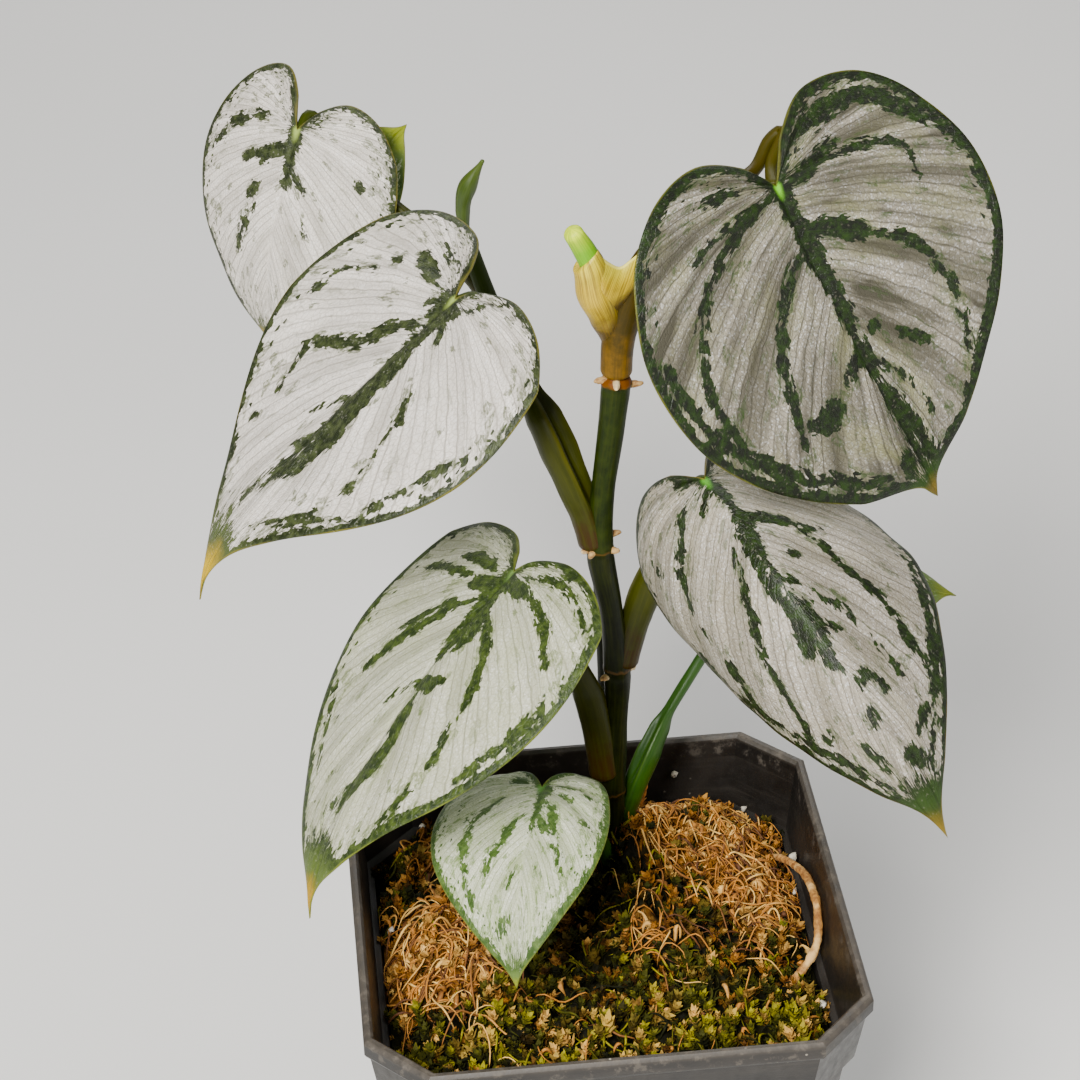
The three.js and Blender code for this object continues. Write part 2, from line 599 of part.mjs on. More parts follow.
const sheathCutter = roundStalk(NEW_LEAF_SHEATH, GAP);
const rollCutter = roundStalk(NEW_LEAF_ROLL, GAP);
for (const leaf of LEAVES) {
  const bladeCutter = bladeGeometry(leaf, BLADE_THICKNESS + 2 * GAP, GAP + 0.1);
  const cutters = [mainStemCutter, backStemCutter, sheathCutter, bladeCutter];
  addPiece(`petiole_${leaf.name}`, cutBy(petioleGeometry(leaf), cutters), COLOURS.petiole);
  addPiece(`blade_${leaf.name}`, bladeGeometry(leaf), COLOURS.silver);
}

addPiece('new_leaf_roll', roundStalk(NEW_LEAF_ROLL), COLOURS.newLeaf);
addPiece('new_leaf_sheath', cutBy(roundStalk(NEW_LEAF_SHEATH), [rollCutter, mainStemCutter]), COLOURS.newSheath);
addPiece('back_leaf_roll', cutBy(roundStalk(BACK_LEAF_ROLL), [backStemCutter]), COLOURS.newLeaf);

addPiece('dry_root', roundStalk(DRY_ROOT), COLOURS.dry);
addPiece('dry_stalk', roundStalk(DRY_STALK), COLOURS.dry);
makeMoss([
  mainStemCutter,
  backStemCutter,
  ...LEAVES.map((leaf) => petioleGeometry(leaf, GAP)),
  roundStalk(DRY_ROOT, GAP),
  roundStalk(DRY_STALK, GAP),
]);

export default group;
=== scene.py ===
# The looks of a young silver-leaved climbing philodendron in a square nursery pot of moss, on the packed
# model. Shapes are given in millimetres, as in the part's source, and become metres when a piece is made.
import math

import bmesh
import bpy
import numpy as np
from mathutils import Matrix, Vector


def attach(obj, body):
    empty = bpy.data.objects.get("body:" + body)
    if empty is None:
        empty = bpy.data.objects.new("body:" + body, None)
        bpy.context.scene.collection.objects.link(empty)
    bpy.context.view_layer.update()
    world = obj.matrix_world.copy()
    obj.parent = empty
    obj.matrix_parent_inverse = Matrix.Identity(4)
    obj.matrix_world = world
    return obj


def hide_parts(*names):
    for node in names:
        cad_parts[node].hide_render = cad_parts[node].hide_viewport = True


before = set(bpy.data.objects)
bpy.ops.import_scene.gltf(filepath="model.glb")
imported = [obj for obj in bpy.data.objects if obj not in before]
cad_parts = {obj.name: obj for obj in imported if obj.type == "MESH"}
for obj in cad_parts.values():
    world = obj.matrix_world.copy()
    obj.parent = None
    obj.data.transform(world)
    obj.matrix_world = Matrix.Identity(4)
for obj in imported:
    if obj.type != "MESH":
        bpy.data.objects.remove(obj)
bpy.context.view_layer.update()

MM = 0.001

# Pot
POT_HEIGHT = 95
POT_BASE_HALF = 31.5
POT_TOP_HALF = 44.1
LIP_BOTTOM = 91
CHAMFER = 0.233
LEDGE = 79.5
WALL_AND_LEDGE = 2.3
FLOOR = 1.8
GAP = 0.3

# Moss
MOSS_LEVEL = 78
MOSS_DOME = 4.5
# Mounds and dry patches: (x, y, height or strength, spread)
MOUNDS = [
    (6, 20, 14, 8), (-33, 1, 8, 6), (-27, -8, 4, 7), (25, 29, 8, 9), (9, 2, 4, 6), (-22, 26, 5, 10),
]
DRY_PATCHES = [
    (-32, 0, 1.2, 8), (-27, -8, 1.0, 6), (25, 29, 1.2, 10), (-20, 27, 0.8, 9), (12, 24, 1.0, 6),
    (10, -2, 0.9, 3.2), (30, 14, 1.0, 7), (33, 4, 0.7, 6),
]
# Waves of the moss's level: (height, along x, along y, start)
LUMPS = [(0.5, 0.42, 0.47, 1.7), (-0.5, 0.42, -0.47, 0.9), (0.7, 0.81, -0.55, 0.53), (0.5, 0.63, 0.92, -1.57)]

# Stalks: the channel and its lips as turns about the stalk, in radians
CHANNEL_HALF_WIDTH = 0.4
LIP_TURN = 0.72
LIP_HALF_WIDTH = 0.17
LIP_SWELL = 0.05
# A stem's ring and waist at each node: (change of radius, height above the node, spread)
STEM_BANDS = [(0.05, 0.4, 0.45), (-0.03, -0.9, 0.6)]

# Blades
BLADE_THICKNESS = 0.4
FIRST_VEIN = 1 / 13
LOBE_VEINS_END = 0.4
RIB_RUN_POWER = 1.7
VEIN_BOW = 0.14
PLEATS = 7
PLEAT_RATE = PLEATS / (1 - FIRST_VEIN)
PLEAT_HEIGHT = 0.8
FINE_PLEAT_HEIGHT = 0.06
SWELL_HEIGHT = 0.22
SWELL_SIZE = 17
RIB_HALF_WIDTH = 1.5
RIB_VALLEY = 0.35
RIB_RIDGE = 0.65
WIDEST_ALONG = 0.29
NECK = (0, -3, -3.6)
SEAT = (0, 0.3, -0.8)
SMALL_BELOW = 55
SMALL_GRID = (64, 72)
LARGE_GRID = (104, 126)

# Half of a heart-shaped blade: across in half widths and along in lengths, from the sinus to the tip
HALF_OUTLINE = np.array([
    (0, 0), (0.13, -0.10), (0.36, -0.18), (0.64, -0.15), (0.86, -0.03), (0.98, 0.13), (1.0, 0.29),
    (0.93, 0.45), (0.77, 0.60), (0.54, 0.74), (0.30, 0.855), (0.12, 0.935), (0.045, 0.975), (0, 1),
])

# Streaks of a blade: [half width, (out, vein), ...]. out runs from the midrib, 0, to the margin, -1 at the
# blade's own left and 1 at its own right; vein runs from the sinus, 0, to the tip, 1.
UPPER_RIGHT_STREAKS = [
    [1.3, (-0.1, 0.15), (-0.45, 0.21), (-0.6, 0.25), (-0.8, 0.27), (-0.85, 0.32), (-0.95, 0.40)],
    [1.1, (-0.04, 0.43), (-0.15, 0.39), (-0.25, 0.365), (-0.40, 0.345)],
    [0.6, (-0.28, 0.385), (-0.5, 0.385), (-0.6, 0.39), (-0.68, 0.42), (-0.66, 0.49)],
    [1.3, (0, 0.585), (-0.12, 0.575), (-0.25, 0.58), (-0.36, 0.59)],
    [0.8, (-0.34, 0.59), (-0.5, 0.585), (-0.62, 0.60), (-0.75, 0.635), (-0.9, 0.69)],
    [0.7, (-0.62, 0.715), (-0.42, 0.725)],
    [0.7, (-0.25, 0.73), (-0.15, 0.76)],
    [0.3, (-0.75, 0.79), (-0.4, 0.785), (-0.1, 0.80)],
    [1.4, (-0.9, 0.83), (-0.5, 0.88)],
    [1.1, (-0.6, 0.855), (-0.3, 0.85), (-0.06, 0.85)],
    [0.4, (0.25, 0.17), (0.8, 0.17)],
    [0.6, (0.3, 0.275), (0.6, 0.28)],
    [1.0, (0.03, 0.45), (0.15, 0.43), (0.3, 0.43), (0.45, 0.445)],
    [0.7, (0.4, 0.44), (0.6, 0.46), (0.7, 0.49), (0.78, 0.52), (0.88, 0.60)],
    [0.6, (0.35, 0.39), (0.6, 0.385)],
    [0.8, (0, 0.61), (0.2, 0.615), (0.35, 0.625), (0.5, 0.64), (0.6, 0.665), (0.7, 0.68), (0.85, 0.70)],
    [1.8, (0.46, 0.745), (0.64, 0.72)],
    [0.9, (0.60, 0.73), (0.67, 0.69)],
    [0.8, (0, 0.80), (0.15, 0.78), (0.3, 0.77)],
    [1.2, (-0.03, 0.78), (-0.04, 0.84)],
    [0.9, (-0.06, 0.82), (-0.04, 0.90), (0, 0.96)],
    [0.7, (0.05, 0.88), (0.1, 0.88)],
    [1.4, (0.9, 0.83), (0.5, 0.88)],
    [1.5, (0, 0.30), (0, 0.50), (-0.01, 0.60), (-0.03, 0.70), (-0.02, 0.80)],
    [1.2, (0.9, 0.45), (0.92, 0.55), (0.9, 0.70), (0.88, 0.8)],
]
UPPER_LEFT_STREAKS = [
    [1.8, (-0.01, 0.28), (-0.02, 0.45), (-0.04, 0.50), (-0.05, 0.56), (-0.05, 0.62)],
    [1.3, (0.06, 0.36), (0.05, 0.44), (0.02, 0.52)],
    [0.9, (-0.02, 0.51), (-0.12, 0.50), (-0.18, 0.52)],
    [2.0, (-0.05, 0.59), (-0.11, 0.64), (-0.15, 0.70), (-0.13, 0.76)],
    [1.8, (-0.08, 0.64), (-0.24, 0.675), (-0.31, 0.71), (-0.30, 0.77), (-0.18, 0.82)],
    [1.0, (-0.10, 0.75), (-0.05, 0.80), (0, 0.87)],
    [0.7, (-0.02, 0.80), (0.06, 0.795), (0.2, 0.775)],
    [0.35, (0, 0.725), (0.12, 0.72), (0.32, 0.705)],
    [1.0, (0, 0.57), (0.08, 0.555), (0.2, 0.555)],
    [1.2, (0.02, 0.55), (0.15, 0.56), (0.3, 0.585), (0.4, 0.585), (0.5, 0.575), (0.67, 0.565)],
    [1.0, (0, 0.50), (-0.08, 0.455), (-0.12, 0.42)],
    [0.9, (0, 0.45), (0.12, 0.475)],
    [0.3, (0.65, 0.565), (0.75, 0.62)],
    [0.8, (0.83, 0.64), (0.88, 0.64)],
    [0.5, (0.08, 0.43), (0.18, 0.395)],
    [1.1, (0.24, 0.375), (0.35, 0.355), (0.48, 0.345)],
    [0.8, (0.5, 0.39), (0.58, 0.38)],
    [0.4, (0.6, 0.42), (0.8, 0.43), (0.85, 0.48)],
    [0.6, (0.28, 0.23), (0.40, 0.23)],
    [0.4, (0.33, 0.265), (0.55, 0.262)],
    [0.4, (-0.1, 0.42), (-0.2, 0.35), (-0.35, 0.25), (-0.5, 0.22), (-0.6, 0.20)],
    [0.7, (-0.5, 0.575), (-0.35, 0.57)],
    [0.25, (-0.35, 0.57), (-0.8, 0.62), (-0.95, 0.70)],
    [0.5, (-0.9, 0.45), (-0.85, 0.5), (-0.95, 0.6), (-0.8, 0.75)],
    [0.5, (0.1, 0.83), (0.6, 0.85)],
]
LOWER_RIGHT_STREAKS = [
    [0.8, (0, 0.2), (0, 0.45), (-0.03, 0.52), (-0.02, 0.60), (0.01, 0.68), (0.03, 0.80)],
    [0.9, (0.04, 0.60), (0.05, 0.66), (0.08, 0.72), (0.09, 0.77), (0.04, 0.82)],
    [1.3, (0.08, 0.72), (0.15, 0.75), (0.21, 0.752)],
    [0.7, (-0.02, 0.70), (-0.08, 0.75), (-0.03, 0.79)],
    [1.0, (0, 0.575), (-0.12, 0.565), (-0.27, 0.555)],
    [0.7, (-0.25, 0.555), (-0.40, 0.585), (-0.5, 0.62), (-0.6, 0.635), (-0.75, 0.67), (-0.88, 0.69)],
    [0.5, (-0.27, 0.56), (-0.42, 0.545)],
    [0.6, (0, 0.47), (0.1, 0.49)],
    [0.9, (-0.2, 0.635), (-0.16, 0.635)],
    [0.35, (0, 0.705), (-0.35, 0.70), (-0.75, 0.74)],
    [0.7, (-0.05, 0.84), (-0.2, 0.805), (-0.3, 0.785), (-0.45, 0.785)],
    [0.5, (-0.05, 0.765), (-0.25, 0.735)],
    [0.9, (-0.85, 0.73), (-0.7, 0.79)],
    [1.2, (-0.75, 0.83), (-0.4, 0.875)],
    [1.0, (0.1, 0.25), (0.3, 0.20)],
    [0.6, (0.13, 0.41), (0.25, 0.44), (0.45, 0.455), (0.52, 0.48), (0.62, 0.53)],
    [0.6, (0.1, 0.60), (0.25, 0.63), (0.35, 0.648), (0.5, 0.66), (0.65, 0.68), (0.85, 0.69)],
    [0.8, (0.32, 0.645), (0.42, 0.652)],
    [0.9, (0.64, 0.57), (0.9, 0.595)],
    [0.7, (0.68, 0.73), (0.78, 0.72)],
    [0.7, (0.58, 0.80), (0.64, 0.835)],
    [0.7, (0.58, 0.38), (0.68, 0.33)],
    [0.8, (0.02, 0.865), (0.12, 0.87)],
    [1.0, (0.92, 0.45), (0.9, 0.65), (0.85, 0.8)],
    [1.0, (-0.92, 0.5), (-0.92, 0.65), (-0.85, 0.82)],
]
LOWER_LEFT_STREAKS = [
    [2.0, (0, 0.32), (-0.01, 0.45), (0.01, 0.52), (-0.02, 0.60), (-0.03, 0.68)],
    [1.8, (-0.08, 0.46), (0.02, 0.50), (0.22, 0.48)],
    [1.2, (-0.05, 0.52), (-0.12, 0.58), (-0.12, 0.63)],
    [1.3, (-0.28, 0.645), (-0.2, 0.68), (-0.10, 0.705), (0, 0.73)],
    [1.7, (-0.27, 0.745), (-0.30, 0.79), (-0.20, 0.84), (-0.05, 0.89)],
    [1.3, (-0.12, 0.72), (-0.20, 0.76)],
    [1.2, (-0.03, 0.48), (-0.12, 0.45), (-0.22, 0.43), (-0.32, 0.415)],
    [0.8, (-0.3, 0.42), (-0.45, 0.405), (-0.6, 0.415), (-0.75, 0.44)],
    [0.5, (-0.15, 0.37), (-0.4, 0.32), (-0.6, 0.31), (-0.9, 0.345)],
    [0.9, (-0.05, 0.56), (-0.2, 0.55), (-0.35, 0.555), (-0.5, 0.58), (-0.56, 0.595)],
    [0.5, (-0.56, 0.60), (-0.75, 0.64), (-0.95, 0.70)],
    [1.0, (0.12, 0.43), (0.22, 0.40), (0.35, 0.385), (0.5, 0.385)],
    [0.6, (0.15, 0.48), (0.3, 0.45), (0.5, 0.425), (0.65, 0.405), (0.8, 0.40)],
    [1.0, (0.05, 0.55), (0.2, 0.55), (0.35, 0.57), (0.5, 0.575), (0.7, 0.585)],
    [0.6, (0.22, 0.53), (0.4, 0.545), (0.55, 0.55)],
    [0.6, (0.78, 0.635), (0.84, 0.63)],
    [0.6, (0.62, 0.745), (0.70, 0.73)],
    [0.35, (0.05, 0.72), (0.3, 0.705)],
    [0.7, (0.05, 0.885), (0.25, 0.86), (0.48, 0.83)],
    [0.9, (-0.9, 0.45), (-0.92, 0.6)],
    [0.9, (-0.92, 0.20), (-0.75, 0.22), (-0.62, 0.26)],
    [0.6, (0.92, 0.55), (0.88, 0.68)],
]
SMALL_FRONT_STREAKS = [
    [0.8, (-0.03, 0.25), (-0.06, 0.45), (-0.06, 0.57), (-0.03, 0.68)],
    [0.6, (-0.06, 0.57), (-0.2, 0.56), (-0.28, 0.60), (-0.36, 0.62)],
    [0.5, (-0.05, 0.62), (-0.2, 0.645)],
    [0.5, (-0.68, 0.5), (-0.60, 0.5)],
    [0.35, (-0.68, 0.385), (-0.58, 0.38)],
    [0.3, (-0.4, 0.46), (-0.25, 0.47)],
    [0.5, (-0.95, 0.35), (-0.9, 0.45)],
    [0.35, (-0.7, 0.66), (-0.5, 0.64), (-0.35, 0.65)],
    [0.5, (0.08, 0.62), (0.2, 0.625), (0.3, 0.66), (0.45, 0.67), (0.6, 0.69)],
    [0.45, (0.3, 0.48), (0.4, 0.50), (0.55, 0.53), (0.65, 0.57), (0.75, 0.63), (0.85, 0.70)],
    [0.4, (0.50, 0.51), (0.65, 0.50)],
    [0.8, (0.20, 0.30), (0.35, 0.32)],
    [0.5, (0.35, 0.84), (0.5, 0.82), (0.7, 0.80)],
    [0.3, (-0.2, 0.40), (-0.5, 0.36)],
    [0.3, (0.1, 0.77), (0.3, 0.78)],
    [0.3, (-0.45, 0.72), (-0.3, 0.73)],
]
BACK_LEFT_STREAKS = [
    [1.2, (0, 0.3), (0.01, 0.50), (-0.01, 0.58), (-0.02, 0.64)],
    [1.2, (0, 0.54), (0.12, 0.53), (0.25, 0.55)],
    [0.7, (0.1, 0.53), (0.25, 0.52), (0.42, 0.52)],
    [0.7, (0, 0.59), (-0.12, 0.59), (-0.18, 0.60)],
    [0.8, (0.28, 0.60), (0.38, 0.62)],
    [0.6, (0.3, 0.65), (0.45, 0.67), (0.6, 0.70)],
    [0.7, (0.36, 0.35), (0.46, 0.36)],
    [0.9, (0.5, 0.39), (0.65, 0.38), (0.68, 0.40)],
    [0.6, (0.72, 0.42), (0.85, 0.44)],
    [0.5, (-0.1, 0.28), (-0.25, 0.24), (-0.42, 0.21)],
    [0.7, (-0.64, 0.45), (-0.60, 0.43)],
    [0.5, (-0.38, 0.65), (-0.32, 0.65)],
]
PLAIN_STREAKS = [
    [1.5, (0, 0.3), (-0.03, 0.48), (0.02, 0.60), (0, 0.76)],
    [0.8, (0.05, 0.52), (0.3, 0.50), (0.6, 0.46), (0.8, 0.5)],
    [0.8, (-0.05, 0.56), (-0.35, 0.55), (-0.6, 0.60), (-0.85, 0.66)],
    [0.6, (-0.1, 0.40), (-0.4, 0.33), (-0.7, 0.36)],
    [0.6, (0.1, 0.68), (0.5, 0.70)],
    [0.6, (0.3, 0.28), (0.6, 0.26)],
]

# Every leaf, with the part's own values. A petiole's points are (x, y, z, half width, half depth, channel).
LEAVES = [
    {
        "name": "upper_right", "attach": (34, 23, 226), "heading": -127, "dip": 60, "roll": 16,
        "length": 64, "halfWidth": (36.2, 38.4), "lobe": (1.0, 0.9), "taper": (1.05, 0.88),
        "droop": 2.5, "tipCurl": 15.5, "sideBend": 9.5, "twist": 12, "fold": 4, "curl": (18, -11.5),
        "lobeBend": 7.5, "neck": (-4.4, -2.4, -4.2), "drip": 0.62, "tip": 5, "greenTip": 7,
        "streaks": UPPER_RIGHT_STREAKS, "look": "grey",
        "petiole": [
            (5.9, 15, 196, 2.7, 2.7, 0), (6.3, 15, 203, 2.8, 2.8, 0), (8, 15, 210.5, 2.9, 3.1, 0),
            (11, 15.6, 216.5, 2.5, 3.0, 0.4), (16, 18, 221, 2.1, 2.5, 0.6), (22, 22, 223.5, 1.7, 2.0, 0.6),
            (28, 27, 224.8, 1.4, 1.5, 0.2), (32, 30.6, 226, 1.2, 1.2, 0), (34.6, 34, 229, 1.15, 1.15, 0),
            (37.2, 34.5, 230.4, 1.1, 1.1, 0),
        ],
    },
    {
        "name": "upper_left", "attach": (-20, 30.5, 204.5), "heading": 108, "dip": 34, "roll": 2,
        "length": 70.5, "halfWidth": (32, 32.5), "lobe": (0.6, 0.8), "taper": (1.7, 1.6),
        "droop": 10, "tipCurl": 35, "sideBend": 0, "twist": 6, "fold": -1, "curl": (-28, 22),
        "lobeBend": 22, "drip": 0, "tip": 12, "greenTip": 15,
        "streaks": UPPER_LEFT_STREAKS, "look": "bright",
        "petiole": [
            (1.9, 15, 161.4, 2.6, 2.6, 0), (0.7, 15.5, 167.4, 2.7, 2.8, 0.2),
            (-1.4, 16.6, 173.8, 3.0, 3.1, 0.5), (-3.6, 18.8, 179.6, 3.5, 3.3, 0.7),
            (-5.7, 21, 184.6, 3.4, 3.2, 0.7), (-8.2, 24.6, 188.6, 2.2, 2.4, 0.6),
            (-12.5, 28.4, 196.5, 1.2, 1.2, 0.1),
        ],
    },
    {
        "name": "lower_right", "attach": (20, 6.5, 179.5), "heading": -160, "dip": 8.7, "roll": 15.7,
        "length": 77.5, "halfWidth": (34.2, 31.8), "lobe": (1.0, 0.9), "taper": (1.25, 1.25),
        "droop": 58.6, "tipCurl": 10.4, "sideBend": 11.7, "twist": 17.6, "fold": -31,
        "curl": (-21.6, -62.6), "lobeBend": 16, "drip": 0.35, "tip": 7, "greenTip": 12,
        "streaks": LOWER_RIGHT_STREAKS, "look": "warm",
        "petiole": [
            (7.0, 16, 134.4, 2.6, 2.6, 0), (8.6, 16.3, 141.8, 2.4, 2.8, 0.3),
            (10.6, 16.4, 149, 2.4, 3.1, 0.7), (13, 16, 156.5, 2.1, 2.7, 0.7),
            (16, 15.2, 164, 1.3, 1.3, 0.2), (19, 13.2, 171, 1.2, 1.2, 0),
        ],
    },
    {
        "name": "lower_left", "attach": (-12.5, 13.5, 158.5), "heading": 120, "dip": 30, "roll": 20,
        "length": 72, "halfWidth": (31, 31), "lobe": (0.5, 0.5), "taper": (1.3, 1.3),
        "droop": 22, "tipCurl": 27, "sideBend": 5, "twist": 2, "fold": 1, "curl": (-36, 4),
        "lobeBend": 12, "drip": 0.3, "tip": 8, "greenTip": 15,
        "streaks": LOWER_LEFT_STREAKS, "look": "pale",
        "petiole": [
            (3.6, 17, 108.4, 2.7, 2.7, 0), (2.6, 16.6, 118.5, 2.4, 2.8, 0.3), (1.0, 16.2, 128, 2.3, 3.1, 0.7),
            (-0.6, 16, 133, 2.0, 2.6, 0.6), (-4.2, 15.7, 141.5, 1.3, 1.3, 0.2), (-8, 15.5, 150, 1.2, 1.2, 0),
        ],
    },
    {
        "name": "small_front", "attach": (-9.5, 2, 119), "heading": 162, "dip": -10, "roll": 6.4,
        "length": 42.6, "halfWidth": (13.9, 18.5), "lobe": (1.0, 1.0), "taper": (1.2, 1.2),
        "droop": 66.4, "tipCurl": 17.9, "sideBend": 1, "twist": 2.6, "fold": -1, "curl": (-19.9, -12),
        "lobeBend": 17.9, "drip": 0.15, "tip": 2.5, "greenTip": 6,
        "streaks": SMALL_FRONT_STREAKS, "look": "green",
        "petiole": [
            (4.2, 15, 88, 1.6, 1.6, 0), (2.4, 12.6, 96, 1.5, 1.6, 0.3), (-1, 9.5, 103.5, 1.3, 1.4, 0.4),
            (-5, 6.5, 110, 0.9, 0.9, 0),
        ],
    },
    {
        "name": "behind_right", "attach": (36.5, 41, 134), "heading": -84, "dip": 8, "roll": 12,
        "length": 42, "halfWidth": (16, 16), "lobe": (1.0, 1.0), "taper": (1.2, 1.2),
        "droop": 14, "tipCurl": 12, "sideBend": 0, "twist": 4, "fold": 0, "curl": (-18, -18),
        "lobeBend": 14, "streaks": PLAIN_STREAKS, "look": "green",
        "petiole": [
            (6.6, 19, 92, 1.8, 1.8, 0), (8.8, 19.6, 101, 2.2, 2.3, 0.2), (12, 21, 108.6, 2.1, 2.7, 0.6),
            (14.6, 23, 113.4, 1.8, 2.3, 0.6), (17.4, 25.4, 117.2, 1.1, 1.1, 0.2), (24, 31, 124, 1.1, 1.1, 0),
            (30, 36.5, 129.5, 1.0, 1.0, 0),
        ],
    },
    {
        "name": "back_left", "attach": (-44.5, 88.5, 210.5), "heading": 128, "dip": 62, "roll": -15,
        "length": 50, "halfWidth": (22.5, 22), "lobe": (0.9, 1.2), "taper": (1.1, 1.1),
        "droop": 43, "tipCurl": 14, "sideBend": -2, "twist": 2, "fold": -7, "curl": (-20, -10),
        "lobeBend": 21, "streaks": BACK_LEFT_STREAKS, "look": "bright",
        "petiole": [
            (-10, 65, 181, 1.6, 1.6, 0), (-14, 69, 187, 1.5, 1.7, 0.3), (-20, 75, 192, 1.5, 1.9, 0.6),
            (-28, 82, 197.5, 1.1, 1.1, 0.2), (-36, 88, 204, 1.0, 1.0, 0),
        ],
    },
    {
        "name": "back_small", "attach": (-40, 97, 190), "heading": -114, "dip": -48, "roll": 90,
        "length": 25.6, "halfWidth": (11, 11), "lobe": (0.9, 0.9), "taper": (1.1, 1.1),
        "droop": 4, "tipCurl": 6, "sideBend": 0, "twist": 0, "fold": 6, "curl": (8, 8),
        "lobeBend": 6, "streaks": PLAIN_STREAKS, "look": "green",
        "petiole": [
            (-4.6, 58, 168.5, 1.4, 1.4, 0), (-9, 67, 173, 1.3, 1.4, 0.3), (-19, 82, 174.5, 1.1, 1.1, 0.2),
            (-31, 94, 177, 0.9, 0.9, 0),
        ],
    },
]


def round_stalk(*points):
    """The points of a stalk that is round all along, from (x, y, z, half width)."""
    return [(x, y, z, half, half, 0) for x, y, z, half in points]


# Stems, and the heights of their nodes
MAIN_STEM = round_stalk(
    (5, 18, 60, 1.6), (5.2, 18, 88, 2.1), (5.2, 18, 104, 2.5), (5.9, 17, 121, 2.1), (6.0, 16, 134, 2.5),
    (4.9, 15.5, 147.3, 2.1), (2.9, 15, 161, 2.5), (3.5, 15, 173.3, 2.1), (5.0, 15, 185.4, 2.3),
    (5.9, 15, 194.6, 2.6), (6.0, 15, 197, 1.6), (6.2, 15, 202, 1.2),
)
MAIN_NODES = [104, 134, 161, 194.6]
BACK_STEM = round_stalk(
    (4.9, 30, 62, 1.3), (5, 31, 92, 1.6), (6, 34, 113, 1.5), (6.4, 39, 128.5, 1.7), (5.4, 44, 142, 1.5),
    (0, 52, 159, 1.7), (-4.5, 57.5, 169, 1.5), (-10, 64, 180.5, 1.8), (-13, 68, 188.5, 1.7),
    (-15, 71, 195.5, 1.4),
)
BACK_NODES = [92, 128.5, 159, 180.5]
# Root nubs: (which point of the main stem, height above it, reach, turns about the stem)
NUBS = [
    (9, 1.4, 1.4, (-168, -96)), (9, -0.2, 2.2, (4,)), (6, 0.6, 1.3, (-160, -128, -30)),
    (6, 3, 1.5, (10,)), (4, -0.8, 1.4, (-150, 20)),
]
NEW_LEAF_ROLL = round_stalk(
    (4.4, 13.6, 211, 1.5), (2.6, 12.4, 216.5, 2.05), (0.8, 11.2, 221.5, 1.95),
    (-1.2, 10.1, 225.8, 1.75), (-2.1, 9.6, 227.6, 1.7),
)
NEW_LEAF_SHEATH = [
    (5.4, 15.8, 203, 1.9, 1.9, 0), (4.1, 14.7, 208.2, 2.8, 2.9, 0), (2.3, 13.0, 213.8, 3.2, 3.4, 0),
    (1.2, 11.6, 219, 2.75, 2.9, 0), (0.2, 10.8, 222.8, 2.2, 2.2, 0),
]
# The sheath's free margin between the rolled leaf and the petiole: its upper edge, its middle and its foot
SHEATH_MARGIN = [
    (1.2, 10.6, 223.2), (2.9, 10.9, 221.6), (4.6, 11.5, 219.8), (6.3, 12.1, 218.7), (8.2, 12.9, 219.5),
    (10.9, 14.5, 220.6),
]
SHEATH_MIDDLE = [
    (1.3, 10.4, 216.6), (2.9, 9.6, 215.9), (4.7, 10.2, 215.0), (6.5, 11.2, 214.8), (8.5, 12.0, 215.9),
    (10.9, 13.2, 218.0),
]
SHEATH_FOOT = [
    (2.6, 13.2, 209.6), (4.0, 13.2, 209.2), (5.6, 13.0, 209.6), (7.2, 13.1, 211.0), (8.9, 13.6, 213.2),
    (10.8, 14.8, 216.4),
]
BACK_LEAF_ROLL = round_stalk(
    (-15, 71.1, 195, 0.8), (-15.4, 71.2, 200.6, 1.4), (-14.4, 70.7, 205.2, 1.8), (-11.4, 70, 211, 0.4),
)
DRY_ROOT = round_stalk(
    (35, 26, 77, 0.6), (38, 20, 82.5, 0.7), (40.6, 10, 87, 0.8), (41.1, 1, 89, 0.8),
    (40.9, -4, 88, 0.8), (40, -8, 84.5, 0.8), (37, -11, 81.5, 0.8), (33, -14, 79.5, 0.7),
    (28.5, -16.5, 76, 0.5),
)
DRY_STALK = [
    (11, 26.5, 84, 0.8, 0.8, 0), (11.2, 26.5, 93, 1.1, 0.9, 0), (11.8, 26, 99, 1.4, 0.9, 0),
    (13, 26, 103.5, 0.7, 0.6, 0),
]

# White crumbs on the ledge and the inner wall
CRUMBS = [
    (16, 42.0, 92), (20.5, 41.5, 88), (24, 40.2, 80.5), (27, 40.6, 80.6), (21, 40.0, 80.4), (39.6, 12, 80.5),
    (40.2, 18, 84), (-38, 10, 81), (-30, 40, 81), (39.0, -20, 81), (34, 38.2, 80.6),
]

# Camera: azimuth, elevation and roll in degrees, the lens in millimetres, and its place in metres
CAMERA_TURN = (-5.35, 33.75, -1.24)
CAMERA_LENS = 97.9
CAMERA_PLACE = (-0.04766, -0.4120, 0.4504)


# Mesh helpers

def smooth(x, low, high):
    """0 below low and 1 above high, with a soft step between."""
    t = np.clip((x - low) / (high - low), 0, 1)
    return t * t * (3 - 2 * t)


def mesh_of(name, bm):
    mesh = bpy.data.meshes.new(name)
    bm.to_mesh(mesh)
    bm.free()
    return mesh


def points_of(mesh):
    flat = np.zeros(len(mesh.vertices) * 3, np.float32)
    mesh.vertices.foreach_get("co", flat)
    return flat.reshape(-1, 3).astype(float)


def move_points(mesh, points):
    mesh.vertices.foreach_set("co", np.asarray(points, np.float32).ravel())
    mesh.update()


def paint(mesh, name, values):
    """Stores a number at every point of a mesh, for its material."""
    layer = mesh.attributes.new(name, "FLOAT", "POINT")
    layer.data.foreach_set("value", np.asarray(values, np.float32))


def lay_flat(mesh, name, flat):
    """Stores a flat pattern of a mesh, two numbers at every point, as its UV map."""
    corners = np.zeros(len(mesh.loops), np.int32)
    mesh.loops.foreach_get("vertex_index", corners)
    layer = mesh.uv_layers.new(name=name)
    layer.data.foreach_set("uv", np.asarray(flat, np.float32)[corners].ravel())


